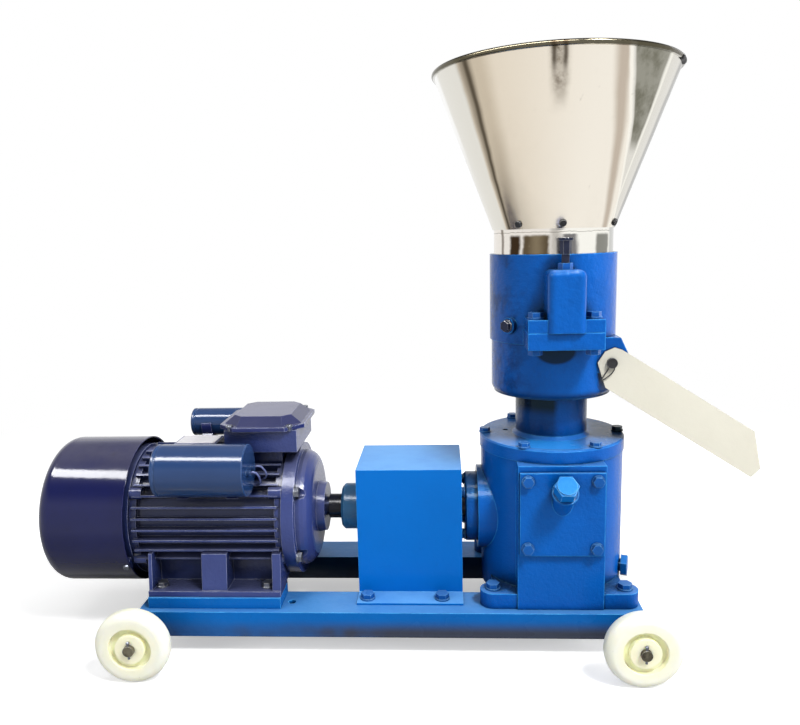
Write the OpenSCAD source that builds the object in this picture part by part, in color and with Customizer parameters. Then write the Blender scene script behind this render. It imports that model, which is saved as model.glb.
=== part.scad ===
// Feed pellet mill with a flat rotating die, driven by an electric motor through bevel gears.
// The floor is z = 0 and the machine stands on four wheels. The drive line runs along X.

/* [Base frame] */
// Height of each frame channel
rail_h = 36.5; // [32:0.5:44]
// Width of each frame channel
rail_w = 62; // [56:1:70]
// Wall of the frame channels
rail_t = 4; // [3:0.5:5]
// Distance from the machine's centre plane to a channel's outer face
frame_half_w = 121; // [117:1:128]
// Frame length to the left of the die shaft
frame_left = 590; // [586:1:620]
// Frame length to the right of the die shaft
frame_right = 112; // [108:1:130]
// Width of each cross member
cross_w = 50; // [36:1:60]
// Height of each cross member
cross_h = 30; // [24:1:31]

/* [Wheels] */
// Radius of the wheels
wheel_r = 50; // [48:1:60]
// Width of the wheels
wheel_w = 26; // [24:1:32]
// Gap between a channel and its wheel
wheel_gap = 48; // [40:1:54]
// Radius of the axle rods
axle_r = 7.25; // [6:0.25:8]
// Depth of the axle centre below the top of the frame
axle_drop = 14; // [13.5:0.5:18]
// Distance of the left axle from the die shaft
left_axle = 571; // [560:1:580]
// Distance of the right axle from the die shaft
right_axle = 93; // [85:1:98]

/* [Drive] */
// Height of the drive line above the frame
drive_height = 110; // [109:1:118]
// Teeth on the bevel pinion
pinion_teeth = 9; // [9:1:10]
// Teeth on the crown gear
crown_teeth = 36; // [35:1:38]
// Pitch radius of the crown gear at its outer edge
crown_r = 76; // [73:1:78]
// Length of the bevel teeth, measured along the drive line
tooth_l = 22; // [18:1:24]
// Radius of the coupling hubs
coupling_r = 34; // [30:1:38]
// Length of each coupling hub without its jaws
coupling_hub = 62; // [50:1:64]
// Length of the coupling jaws
jaw_l = 18; // [12:1:20]
// Left end of the coupling, from the die shaft
coupling_start = 310; // [300:1:312]

/* [Motor] */
// Bore of the motor frame, as a radius
stator_r = 76; // [72:1:78]
// Outer radius of the motor frame's barrel
motor_r = 85; // [82:1:87]
// Radius over the cooling fins
fin_r = 98; // [94:1:99]
// Thickness of one cooling fin
fin_t = 3; // [2:0.5:4]
// Drive end of the motor frame, from the die shaft
motor_start = 386; // [384:1:396]
// Length of the motor frame
motor_len = 218; // [212:1:220]
// Radius of the fan cover
cover_r = 107.6; // [106:0.2:110]
// Depth of the fan cover
cover_l = 128; // [118:1:140]
// Corner radius of the fan cover
cover_corner = 20; // [12:1:28]
// Sheet thickness of the fan cover
cover_t = 1.6; // [1:0.2:2]
// Thickness of the pads under the motor feet
pad_t = 16; // [14:1:20]
// Radius of the start capacitor
start_cap_r = 36; // [30:1:37]
// Length of the start capacitor
start_cap_l = 126; // [110:1:130]
// Radius of the run capacitor
run_cap_r = 22; // [18:1:24]
// Length of the run capacitor
run_cap_l = 92; // [80:1:96]
// Width of the terminal box along the motor
box_l = 104; // [96:1:108]
// Width of the terminal box across the motor
box_w = 118; // [108:1:122]
// Height of the terminal box without its lid
box_h = 32; // [28:1:36]

/* [Guard] */
// Left end of the coupling guard, from the die shaft
guard_start = 282.5; // [280:0.5:286]
// Length of the coupling guard
guard_l = 150; // [144:1:152]
// Half width of the coupling guard
guard_half_w = 63.6; // [58:0.2:66]
// Height of the coupling guard above the frame
guard_h = 186; // [176:1:196]
// Sheet thickness of the guard
guard_t = 3; // [2:0.5:4]
// Width of the guard's bottom flanges
guard_flange = 35; // [32:1:38]

/* [Gearbox] */
// Radius of the gearbox body
gearbox_r = 102; // [100:1:106]
// Height of the gearbox body
gearbox_h = 205; // [198:1:215]
// Wall of the gearbox body
gearbox_wall = 12; // [10:1:13]
// Half width of the flat front
front_half_w = 58.5; // [57:0.5:64]
// How far the flat front stands out from the round body
front_proud = 8; // [6:1:14]
// Thickness of the top cover
top_cover_t = 19; // [16:1:24]
// Radius of the neck under the pellet chamber
neck_r = 51; // [46:1:52]
// Height of the neck
neck_h = 64; // [58:1:70]
// Radius of the input boss
boss_r = 61; // [58:1:64]
// Radius of the input bearing housing
input_r = 51; // [50:1:55]
// Height of the inspection cover
hatch_h = 116; // [110:1:120]

/* [Pelleting head] */
// Outer radius of the lower chamber
chamber_r = 85.5; // [84:0.5:87]
// Height of the lower chamber
chamber_h = 75; // [72:1:84]
// Wall of the lower chamber
chamber_wall = 10; // [8.5:0.5:10.5]
// Outer radius of the upper barrel
barrel_r = 88; // [87:0.5:92]
// Bore of the upper barrel, as a radius
barrel_bore = 77; // [76.5:0.5:79]
// Height of the upper barrel
barrel_h = 120; // [116:1:130]
// Thickness of the die plate
die_t = 20; // [16:1:24]
// Radius of each die hole
die_hole_r = 3; // [2:0.5:3.5]
// Radius of the press rollers
roller_r = 37.5; // [34:0.5:38]
// Width of the press rollers
roller_w = 38; // [32:1:39]
// Radius of the roller shaft
roller_shaft_r = 14; // [12:0.5:14.5]
// Height of the roller shaft above the bottom of the upper barrel
roller_height = 59; // [58:1:64]
// Travel of the roller shaft
roller_travel = 3; // [2:0.5:4]

/* [Hopper] */
// Radius of the hopper's mouth, on its rim line
hopper_r = 162.8; // [150:0.4:175]
// Height of the hopper cone
hopper_h = 208; // [180:1:240]
// Radius of the hopper collar
collar_r = 82; // [80:0.5:83]
// Height of the collar above the barrel
collar_h = 33; // [26:1:40]
// Sheet thickness of the hopper
sheet_t = 1.2; // [0.8:0.1:1.6]
// Radius of the rolled rim
bead_r = 3.4; // [2.4:0.2:4.4]

/* [Chute] */
// Length of the chute from its pivot
chute_l = 251; // [220:1:260]
// Height of the chute's side walls
chute_h = 55; // [52:1:60]
// Sheet thickness of the chute
chute_t = 1.8; // [1.2:0.2:2]
// Slope of the chute, in degrees
chute_slope = 32.6; // [28:0.2:36]
// Distance of the chute's pivot from the die shaft
chute_pivot = 70; // [69:1:74]
// Depth of the chute's pivot below the top of the lower chamber
chute_drop = 26.5; // [25:0.5:28]

/* [Hidden] */
$fn = 64;

// Clearances and the overrun of cuts
cut = 1;
running_gap = 0.08;
fit_gap = 0.03;
bolt_gap = 0.4;
seat_gap = 0.3;

// Fastener proportions, as shares of the thread size
head_r_share = 0.96;
head_h_share = 0.64;
washer_r_share = 1.06;
washer_t_share = 0.2;
nut_h_share = 0.8;
m5 = 5;
m8 = 8;
m10 = 10;
m5_hole = m5 / 2 + bolt_gap;
m8_hole = m8 / 2 + bolt_gap;
m10_hole = m10 / 2 + bolt_gap;

// Overall places
chute_end_w = 0.3 * chute_h;
chute_tip = chute_pivot + chute_l * cos(chute_slope) - chute_end_w * sin(chute_slope);
motor_end = motor_start + motor_len;
cover_rim_gap = 3;
cover_rim = motor_end + cover_rim_gap;
main_x = (cover_rim + cover_l - chute_tip) / 2;
axle_z = wheel_r;
rail_top = wheel_r + axle_drop;
drive_z = rail_top + drive_height;
foot_y = frame_half_w - rail_w / 2;
frame_l = frame_left + frame_right;

// Frame details
cross_inset = 110;
cross_count = 3;
spare_hole_x = 376;
guard_bolt_y = 84;
guard_bolt_inset = [14.5, 29.5];
gearbox_foot_x = 91;
motor_foot_inset = 42;
motor_foot_span = 152;
motor_foot_xs = [motor_end - motor_foot_inset - motor_foot_span, motor_end - motor_foot_inset];
axle_tail = 5;
axle_play = 0.3;
axle_collar_r = 11;
split_pin_r = 1.6;
split_pin_l = 22;
hub_r = 20;
groove_r = 28.5;
groove_depth = 8;
tread_round = 11;

// Motor details
pad_w = 50;
pad_y = 86;
foot_t = 8;
foot_in = 62;
foot_out = 108;
foot_rib_h = 60;
foot_rib_in = 45;
foot_rib_lean = 6;
foot_web_t = 7;
foot_rib_w = [5, 36, 12];
fin_step = 9.5;
fins_down = 3;
fins_up = 8;
fin_set = 5;
end_ring_r = 92;
end_ring_l = 10;
lug_angle = 32;
lug_ring = 91;
lug_r = 9;
lug_l = 18;
pocket_r = 10;
spot_face = 0.4;
pedestal_h = 102;
pedestal_w = 90;
pedestal_l = 70;
pedestal_inset = 4;
box_x = motor_start + 31;
box_z = drive_z + pedestal_h;
box_wall = 3;
lid_over = 9;
lid_rim = 6;
lid_chamfer = 24;
lid_edge = 5;
lid_step = 20;
lid_top = 12;
gland_r = 11;
gland_bore = 7;
gland_l = 24;
gland_thread = 9;
shield_r = 97;
shield_flange = 18;
shield_body_r = 86;
shield_depth = 40;
dome_step = 15;
shield_round = 22;
fan_shield_round = 6;
shield_hub_r = 38;
shield_nose = 12;
shield_wall = 8;
spigot_l = 8;
spigot_in = 70;
shaft_mid_r = 16;
shaft_drive_r = 14;
shaft_fan_r = 11;
de_bearing_r = 31;
de_bearing_seat = 15;
de_bearing_l = 16;
fe_bearing_r = 26;
fe_bearing_seat = 12.5;
fe_bearing_l = 15;
fe_flange = 14;
de_bearing_x = motor_start - 29;
fe_bearing_x = motor_end + 6;
stator_l = 120;
stator_in = 46;
stator_inset = 46;
slot_count = 24;
slot_w = 6;
slot_d = 20;
winding_l = 24;
winding_out = 71;
winding_in = 49;
conductor_gap = 0.4;
air_gap = 0.7;
fan_l = 26;
fan_r = 86;
fan_hub_r = 20;
fan_disc_r = 62;
fan_blade_t = 3;
fan_blades = 8;
fan_x = motor_end + 34;
fan_tail = 12;
grille_hole_r = 5;
grille_rings = [22, 37, 52, 67, 82];
grille_pitch = 14.5;
cover_screw_x = 9;
cover_screws = 2;
cover_lug_w = 16;
saddle_w = 16;
saddle_t = 3;
saddle_gap = 0.3;
saddle_share = 0.55;
plate_x = 528;
plate_y = 8;
plate_l = 58;
plate_w = 40;
plate_t = 1;
plate_edge = 3;
plate_pad_h = 103;
start_cap_angle = 41;
start_cap_inset = 54;
run_cap_angle = 53;
run_cap_inset = 44;
run_stand = 17;
cap_crimp = 1.2;
cap_crimp_w = 4;
cap_terminal_r = 4;
cap_terminal_l = 6;
start_cap_dist = fin_r + start_cap_r + saddle_gap + saddle_t + seat_gap;
run_cap_dist = fin_r + run_cap_r + saddle_gap + saddle_t + run_stand;

// Coupling details
coupling_bevel = 4;
sleeve_r = 18;
sleeve_l = 20;
leg_w = 8;
leg_gap = 0.3;
leg_in = 15;
spider_core = 12;
spider_hole = 6;
shaft_in_hub = 3;

// Gearbox details
cavity_r = gearbox_r - gearbox_wall;
front_depth = gearbox_r + front_proud;
gearbox_floor = 10;
cover_z = rail_top + gearbox_h;
neck_z = cover_z + top_cover_t;
chamber_z = neck_z + neck_h;
top_cover_r = gearbox_r + 1.5;
top_bolt_ring = gearbox_r - gearbox_wall / 2;
top_bolt_count = 6;
top_spigot = 7;
edge_bevel = 2;
neck_fillet = 5;
jack_hole_r = 4;
jack_hole_at = [-65, 10];
block_wall = 12;
window_half = 38;
window_inset = 18;
hatch_t = 6;
hatch_half_w = 56.5;
hatch_top_gap = 8;
hatch_bolt_x = 46;
hatch_bolt_inset = 11;
spout_r = 14;
spout_l = 24;
spout_flange_r = 17.5;
spout_flange_t = 4;
spout_tilt = 45;
spout_drop = 39;
spout_bore = 8;
plug_r = 16;
plug_l = 18;
drain_z = 30;
drain_angle = -18;
drain_r = 9;
gearbox_foot_r = 18;
gearbox_foot_t = 22;
input_start = 109;
input_flange = 18;
input_sleeve = 29;
input_sleeve_r = 38;
input_bore = 31;
input_lip = 22;
input_lip_t = 5;
input_bolt_ring = 44.5;
pinion_seat = 15;
pinion_bearing_l = 16;
pinion_spacer = 6;
seal_t = 6;
neck_bearing_r = 36;
neck_bearing_seat = 17.5;
neck_bearing_l = 17;
neck_lip = 23;
neck_lip_t = 4;
neck_seal_r = 30;
neck_seal_t = 7;
foot_bearing_z = rail_top + 20;
foot_hub_r = 48;
shaft_gear_r = 20;
crown_hub_r = 32;
crown_hub_l = 24;
crown_body_t = 16;

// Pelleting head details
barrel_z = chamber_z + chamber_h;
barrel_top = barrel_z + barrel_h;
chamber_floor = 14;
chamber_round = 10;
chamber_bore = chamber_r - chamber_wall;
chamber_hole_r = 31;
floor_screw_ring = 39.5;
floor_screw_count = 4;
spigot_h = 4;
spigot_out = 82;
spigot_wall = 3.8;
roller_z = barrel_z + roller_height;
roller_gap = 0.3;
die_top = roller_z - roller_r - roller_gap;
die_z = die_top - die_t;
die_r = chamber_bore - seat_gap;
die_rings = [31, 41, 51, 61];
die_pitch = 13.5;
sweeper_hub_r = 23;
sweeper_z = chamber_z + 21;
sweeper_seat_r = 16;
sweeper_r = 68;
sweeper_lift = 5;
sweeper_t = 4;
sweeper_blades = 4;
sweeper_blade_h = 12;
main_neck_r = 17;
die_thread_r = 12;
die_nut_h = 14;
die_nut_r = 20;
thread_tail = 3;
roller_in = 26;
collar_gap = 0.5;
shaft_collar_r = 17;
clip_r = 18;
clip_t = 3;
roller_grooves = 30;
roller_groove_r = 1.2;
shaft_end = 124;
ear_half_w = 48.5;
ear_depth = 128;
ear_h = 22;
lock_z = 25;
lock_h = 6;
lock_r = 11;
bracket_flange = 17;
bracket_half_w = 24;
bracket_depth = 134;
bracket_h = 79.5;
bracket_round = 9;
bracket_back = 80;
bracket_bolt_x = 37;
bracket_bolt_y = 110;
slide_gap = 0.3;
slot_head = 6;
screw_r = 5;
screw_flat = 1.5;
screw_tip_gap = 0.2;
adjust_nut_r = 9.5;
adjust_nut_h = 8;
screw_neck = 19;
screw_head_r = 7.5;
screw_head_h = 17;
screw_cap_r = 9.5;
screw_cap_h = 3.5;
outlet_half_w = 56;
outlet_floor = 2;
outlet_h = 48;
cheek_half_w = 68.6;
cheek_t = 7;
hood_reach = 22;
hood_t = 12;
hood_slope = 14;
hood_rise = 9;
cheek_drop = 14;
cheek_in = 30;
pin_r = 4;
pin_head_r = 7;
pin_head_t = 4;

// Hopper details
collar_spigot = 17;
collar_spigot_r = 76.2;
cone_lap = 16;
cone_z = barrel_top + collar_h;
rim_z = cone_z + hopper_h;
hopper_screw_z = 7;
hopper_screw_angles = [-129, -90, -30, 30, 90, 150];

// Chute details
chute_wall_y = cheek_half_w + 0.6;
chute_low = 0.6 * chute_h;
chute_high = 0.4 * chute_h;
chute_head = 16;
chute_end_cut = 37;

pitch_cone = atan(pinion_teeth / crown_teeth);
cone_dist = crown_r / cos(pitch_cone);
module_out = 2 * crown_r / crown_teeth;
pinion_out = crown_r;
pinion_in = crown_r - tooth_l;

// A washer-shaped ring standing on z = 0
module ring(r_out, r_in, h) {
  difference() {
    cylinder(h = h, r = r_out);
    translate([0, 0, -cut]) cylinder(h = h + 2 * cut, r = r_in);
  }
}

// Children with local +Z along +X, starting at a distance left of the die shaft
module along_drive(left) {
  translate([main_x - left, 0, drive_z]) rotate([0, 90, 0]) children();
}

// Children on the die shaft's vertical axis
module on_main(z) {
  translate([main_x, 0, z]) children();
}

// Hexagon bolt whose washer sits on z = 0 and whose shank points down
module hex_bolt(d, shank, nut = false) {
  cylinder(h = washer_t_share * d, r = washer_r_share * d);
  translate([0, 0, washer_t_share * d]) cylinder(h = head_h_share * d, r = head_r_share * d, $fn = 6);
  translate([0, 0, -shank]) cylinder(h = shank + washer_t_share * d, r = d / 2);
  if (nut) {
    translate([0, 0, -shank]) cylinder(h = nut_h_share * d, r = head_r_share * d, $fn = 6);
  }
}

// Round-headed screw whose head sits on z = 0 and whose shank points down
module pan_screw(d, shank) {
  intersection() {
    sphere(r = d);
    cylinder(h = d, r = d);
    translate([0, 0, -d / 2]) cylinder(h = d, r = d);
  }
  translate([0, 0, -shank]) cylinder(h = shank + d / 4, r = d / 2);
}

// Vertical hole that starts below z = 0 and ends above h
module drill(r, h) {
  translate([0, 0, -cut]) cylinder(h = h + 2 * cut, r = r);
}

// Base frame

module rail(side) {
  y_low = side * foot_y - rail_w / 2;
  difference() {
    translate([main_x - frame_left, y_low, rail_top - rail_h]) cube([frame_l, rail_w, rail_h]);
    translate([main_x - frame_left - cut, y_low + rail_t, rail_top - rail_h - cut])
      cube([frame_l + 2 * cut, rail_w - 2 * rail_t, rail_h - rail_t + cut]);
    for (x = [-left_axle, right_axle])
      translate([main_x + x, y_low - cut, axle_z]) rotate([-90, 0, 0])
        cylinder(h = rail_w + 2 * cut, r = axle_r + bolt_gap);
    for (x = motor_foot_xs)
      translate([main_x - x, side * foot_y, rail_top - rail_t]) drill(m8_hole, rail_t);
    for (x = [-gearbox_foot_x, gearbox_foot_x])
      translate([main_x + x, side * foot_y, rail_top - rail_t]) drill(m10_hole, rail_t);
    for (x = guard_bolt_xs())
      translate([main_x - x, side * guard_bolt_y, rail_top - rail_t])
        drill(m10_hole, rail_t);
    translate([main_x - spare_hole_x, side * foot_y, rail_top - rail_t])
      drill(m10_hole, rail_t);
  }
}

function guard_bolt_xs() = [guard_start - guard_bolt_inset[0],
  guard_start - guard_l + guard_bolt_inset[1]];

module front_rail() {
  color([0.05, 0.36, 0.75]) rail(-1);
}

module rear_rail() {
  color([0.05, 0.36, 0.75]) rail(1);
}

module cross_member() {
  half_l = frame_half_w - rail_w;
  difference() {
    translate([-cross_w / 2, -half_l, -cross_h]) cube([cross_w, 2 * half_l, cross_h]);
    translate([-cross_w / 2 + rail_t, -half_l - cut, -cross_h - cut])
      cube([cross_w - 2 * rail_t, 2 * half_l + 2 * cut, cross_h - rail_t + cut]);
  }
}

module cross_members() {
  step = (frame_l - 2 * cross_inset) / (cross_count - 1);
  color([0.05, 0.34, 0.70])
    for (i = [0 : cross_count - 1])
      translate([main_x - frame_left + cross_inset + i * step, 0, rail_top - rail_t])
        cross_member();
}

wheel_in = frame_half_w + wheel_gap;
wheel_out = wheel_in + wheel_w;
split_pin_y = wheel_out + 1.5 * split_pin_r + seat_gap;

module wheel_axles() {
  color([0.35, 0.33, 0.30])
    for (x = [-left_axle, right_axle])
      translate([main_x + x, 0, axle_z])
        difference() {
          rotate([90, 0, 0]) union() {
            cylinder(h = 2 * (wheel_out + axle_tail), r = axle_r, center = true);
            for (side = [-1, 1])
              translate([0, 0, side * (frame_half_w + wheel_gap / 2 - axle_play / 2)])
                cylinder(h = wheel_gap - axle_play, r = axle_collar_r, center = true);
          }
          for (side = [-1, 1])
            translate([0, side * split_pin_y, 0])
              cylinder(h = 2 * axle_collar_r, r = split_pin_r + running_gap, center = true);
        }
}

module axle_split_pins() {
  color([0.45, 0.44, 0.40])
    for (x = [-left_axle, right_axle], side = [-1, 1])
      translate([main_x + x, side * split_pin_y, axle_z]) {
        cylinder(h = split_pin_l, r = split_pin_r, center = true);
        translate([0, 0, split_pin_l / 2]) sphere(r = 1.5 * split_pin_r);
      }
}

module wheel(x, side) {
  color([0.93, 0.92, 0.84])
    translate([main_x + x, side * wheel_in, axle_z]) rotate([-90 * side, 0, 0])
      difference() {
        union() {
          translate([0, 0, tread_round])
            cylinder(h = wheel_w - 2 * tread_round, r = wheel_r);
          cylinder(h = wheel_w, r = wheel_r - tread_round);
          for (z = [tread_round, wheel_w - tread_round])
            translate([0, 0, z]) rotate_extrude()
              translate([wheel_r - tread_round, 0]) circle(r = tread_round);
        }
        drill(axle_r + running_gap, wheel_w);
        for (z = [-cut, wheel_w - groove_depth])
          translate([0, 0, z]) ring(groove_r, hub_r, groove_depth + cut);
      }
}

module wheel_front_left() { wheel(-left_axle, -1); }
module wheel_front_right() { wheel(right_axle, -1); }
module wheel_rear_left() { wheel(-left_axle, 1); }
module wheel_rear_right() { wheel(right_axle, 1); }

// Electric motor

pad_ends = [15, 22];
pad_l = motor_foot_span + pad_ends[0] + pad_ends[1];
pad_x = motor_foot_xs[1] + pad_ends[0];
foot_z = rail_top + pad_t;

module motor_pads() {
  color([0.05, 0.36, 0.75])
    for (side = [-1, 1])
      difference() {
        translate([main_x - pad_x, side * pad_y - pad_w / 2, rail_top])
          cube([pad_l, pad_w, pad_t]);
        for (x = motor_foot_xs)
          translate([main_x - x, side * foot_y, rail_top]) drill(m8_hole, pad_t);
      }
}

module motor_feet() {
  rib_y = foot_out - foot_rib_lean;
  rib_top = foot_z + foot_rib_h;
  rib_places = [0, (pad_l - foot_rib_w[1]) / 2, pad_l - foot_rib_w[2]];
  for (side = [-1, 1]) {
    translate([main_x - pad_x, side > 0 ? foot_in : -foot_out, foot_z])
      cube([pad_l, foot_out - foot_in, foot_t]);
    translate([main_x - pad_x, side > 0 ? foot_in : -foot_in - foot_web_t, foot_z])
      cube([pad_l, foot_web_t, foot_rib_h]);
    for (i = [0 : 2])
      translate([main_x - pad_x + rib_places[i], 0, 0]) rotate([90, 0, 90])
        linear_extrude(height = foot_rib_w[i])
          polygon([[side * foot_rib_in, foot_z + foot_t / 2],
            [side * (foot_out - foot_rib_lean / 2), foot_z + foot_t / 2],
            [side * (rib_y - foot_rib_lean / 2), rib_top],
            [side * foot_rib_in, rib_top]]);
  }
}

module lug_places(last = 3) {
  turns = [90 - lug_angle, 90 + lug_angle, 270 - lug_angle, 270 + lug_angle];
  for (i = [0 : last])
    rotate([0, 0, turns[i]]) translate([lug_ring, 0, 0]) children();
}

module motor_frame() {
  fin_l = motor_len - 2 * end_ring_l;
  color([0.09, 0.11, 0.25])
    difference() {
      union() {
        along_drive(motor_end) {
          cylinder(h = motor_len, r = motor_r);
          cylinder(h = end_ring_l, r = end_ring_r);
          translate([0, 0, motor_len - end_ring_l]) cylinder(h = end_ring_l, r = end_ring_r);
          lug_places() {
            cylinder(h = lug_l, r = lug_r);
            translate([0, 0, motor_len - lug_l]) cylinder(h = lug_l, r = lug_r);
          }
          for (side = [-1, 1], k = [-fins_down : fins_up])
            rotate([0, 0, side * (90 + k * fin_step)])
              translate([motor_r - fin_set, -fin_t / 2, end_ring_l / 2])
                cube([fin_r - motor_r + fin_set, fin_t, fin_l + end_ring_l]);
        }
        translate([main_x - motor_start - pedestal_inset - pedestal_l, -pedestal_w / 2,
            drive_z + motor_r / 2])
          cube([pedestal_l, pedestal_w, pedestal_h - motor_r / 2]);
        translate([main_x - plate_x - plate_l / 2 - plate_edge, plate_y - plate_w / 2 - plate_edge,
            drive_z + stator_r + plate_edge])
          cube([plate_l + 2 * plate_edge, plate_w + 2 * plate_edge,
            plate_pad_h - stator_r - plate_edge]);
        motor_feet();
      }
      along_drive(motor_end) {
        drill(stator_r, motor_len);
        lug_places() {
          translate([0, 0, -cut]) cylinder(h = lug_l, r = m8_hole);
          translate([0, 0, motor_len - lug_l + cut])
            cylinder(h = lug_l, r = m8_hole);
        }
      }
      for (side = [-1, 1], x = motor_foot_xs)
        translate([main_x - x, side * foot_y, foot_z]) drill(m8_hole, foot_t);
    }
}

module stator_core() {
  color([0.55, 0.55, 0.57])
    along_drive(motor_end - stator_inset)
      difference() {
        ring(stator_r - fit_gap, stator_in, stator_l);
        for (i = [0 : slot_count - 1])
          rotate([0, 0, i * 360 / slot_count])
            translate([stator_in - cut, -slot_w / 2, -cut])
              cube([slot_d + cut, slot_w, stator_l + 2 * cut]);
      }
}

module stator_windings() {
  bar_w = slot_w - 2 * conductor_gap;
  color([0.72, 0.38, 0.16])
    along_drive(motor_end - stator_inset) {
      for (z = [-winding_l - seat_gap, stator_l + seat_gap])
        translate([0, 0, z]) ring(winding_out, winding_in, winding_l);
      for (i = [0 : slot_count - 1])
        rotate([0, 0, i * 360 / slot_count])
          translate([winding_in, -bar_w / 2, -2 * seat_gap])
            cube([stator_in + slot_d - winding_in - conductor_gap, bar_w,
              stator_l + 4 * seat_gap]);
    }
}

module drive_end_shield() {
  bearing_end = motor_start - de_bearing_x;
  color([0.09, 0.11, 0.25])
    along_drive(motor_start)
      difference() {
        union() {
          rotate_extrude() polygon([[spigot_in, -spigot_l],
            [stator_r - fit_gap, -spigot_l], [stator_r - fit_gap, 0],
            [shield_r, 0], [shield_r, shield_flange],
            each [for (a = [0 : dome_step : 90])
              [shield_body_r - shield_round * (1 - cos(a)),
                shield_depth - shield_round * (1 - sin(a))]],
            [shield_hub_r, shield_depth],
            [shield_hub_r - edge_bevel, shield_depth + shield_nose],
            [shaft_drive_r + seat_gap, shield_depth + shield_nose],
            [shaft_drive_r + seat_gap, bearing_end],
            [de_bearing_r, bearing_end],
            [de_bearing_r, bearing_end - de_bearing_l - seat_gap],
            [shield_hub_r + edge_bevel, bearing_end - de_bearing_l - seat_gap],
            [shield_hub_r + edge_bevel, shield_depth - shield_wall],
            [spigot_in, shield_depth - shield_wall]]);
        }
        lug_places() {
          drill(m8_hole, shield_flange);
          translate([0, 0, shield_flange - spot_face]) cylinder(h = shield_depth, r = pocket_r);
        }
      }
}

module fan_end_shield() {
  bearing_start = fe_bearing_x - motor_end;
  color([0.09, 0.11, 0.25])
    translate([main_x - motor_end, 0, drive_z]) rotate([0, -90, 0])
      difference() {
        union() {
          rotate_extrude() polygon([[spigot_in, -spigot_l],
            [stator_r - fit_gap, -spigot_l], [stator_r - fit_gap, 0],
            [shield_r, 0], [shield_r, fe_flange],
            [shield_body_r - 2 * fan_shield_round, fe_flange],
            [shield_hub_r, fe_flange + fan_shield_round],
            [shield_hub_r - edge_bevel, bearing_start + fe_bearing_l + edge_bevel * 2],
            [shaft_fan_r + seat_gap, bearing_start + fe_bearing_l + edge_bevel * 2],
            [shaft_fan_r + seat_gap, bearing_start + fe_bearing_l],
            [fe_bearing_r, bearing_start + fe_bearing_l],
            [fe_bearing_r, bearing_start - edge_bevel],
            [shield_hub_r - edge_bevel, bearing_start - edge_bevel],
            [shield_hub_r - edge_bevel, fe_flange - fan_shield_round],
            [spigot_in, fe_flange - fan_shield_round]]);
          lug_places(cover_screws)
            translate([-lug_r, -cover_lug_w / 2, fe_flange - cover_lug_w / 2 - edge_bevel])
              cube([cover_r - cover_t - 2 * seat_gap - lug_ring + lug_r, cover_lug_w,
                cover_lug_w / 2 + edge_bevel]);
        }
        lug_places() drill(m8_hole, fe_flange);
        lug_places(cover_screws)
          translate([0, 0, cover_screw_x]) rotate([0, 90, 0])
            cylinder(h = cover_r, r = m5_hole);
      }
}

module fan_cover() {
  shell_l = cover_l - cover_corner;
  color([0.09, 0.11, 0.25])
    translate([main_x - cover_rim, 0, drive_z]) rotate([0, -90, 0])
      difference() {
        union() {
          cylinder(h = shell_l, r = cover_r);
          cylinder(h = cover_l, r = cover_r - cover_corner);
          translate([0, 0, shell_l]) rotate_extrude()
            translate([cover_r - cover_corner, 0]) circle(r = cover_corner);
        }
        translate([0, 0, -cut]) cylinder(h = shell_l + cut, r = cover_r - cover_t);
        cylinder(h = cover_l - cover_t, r = cover_r - cover_corner);
        translate([0, 0, shell_l]) rotate_extrude()
          translate([cover_r - cover_corner, 0]) circle(r = cover_corner - cover_t);
        for (r = grille_rings)
          for (i = [0 : floor(2 * PI * r / grille_pitch) - 1])
            rotate([0, 0, i * 360 / floor(2 * PI * r / grille_pitch)])
              translate([r, 0, cover_l - cover_corner / 2])
                cylinder(h = cover_corner, r = grille_hole_r);
        lug_places(cover_screws)
          translate([0, 0, cover_screw_x - cover_rim_gap]) rotate([0, 90, 0])
            cylinder(h = cover_r, r = m5_hole);
      }
}

module terminal_box() {
  color([0.08, 0.10, 0.22])
    translate([main_x - box_x, 0, box_z])
      difference() {
        translate([-box_l / 2, -box_w / 2, 0]) cube([box_l, box_w, box_h]);
        translate([-box_l / 2 + box_wall, -box_w / 2 + box_wall, box_wall])
          cube([box_l - 2 * box_wall, box_w - 2 * box_wall, box_h]);
        translate([0, box_w / 2 - box_wall - cut, box_h / 2]) rotate([-90, 0, 0])
          cylinder(h = box_wall + 2 * cut, r = gland_thread + running_gap);
      }
}

// Rectangle with cut corners, centred on the origin
module cut_corner_plate(l, w, corner, h) {
  x = l / 2;
  y = w / 2;
  linear_extrude(height = h) polygon([[-x + corner, -y], [x - corner, -y], [x, -y + corner],
    [x, y - corner], [x - corner, y], [-x + corner, y], [-x, y - corner], [-x, -y + corner]]);
}

module terminal_box_lid() {
  lid_l = box_l + 2 * lid_over;
  lid_w = box_w + 2 * lid_over;
  color([0.10, 0.12, 0.26])
    translate([main_x - box_x, 0, box_z + box_h])
      difference() {
        union() {
          cut_corner_plate(lid_l, lid_w, lid_chamfer, lid_rim);
          hull() {
            cut_corner_plate(lid_l - 2 * lid_edge, lid_w - 2 * lid_edge, lid_chamfer, lid_rim);
            cut_corner_plate(lid_l - 2 * lid_step, lid_w - 2 * lid_step, lid_chamfer / 2,
              lid_rim + lid_top);
          }
        }
        translate([0, 0, -cut])
          cut_corner_plate(lid_l - 2 * lid_step - 2 * box_wall,
            lid_w - 2 * lid_step - 2 * box_wall, lid_chamfer, lid_rim + lid_top - box_wall + cut);
        for (a = lid_screw_places())
          translate(a) {
            drill(m5_hole, lid_rim);
            translate([0, 0, lid_rim]) cylinder(h = lid_top, r = 1.5 * m5);
          }
      }
}

function lid_screw_places() = [for (i = [-1, 1], j = [-1, 1])
  [i * (box_l / 2 - lid_over), j * (box_w / 2 + 0.2 * lid_over), 0]];

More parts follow.
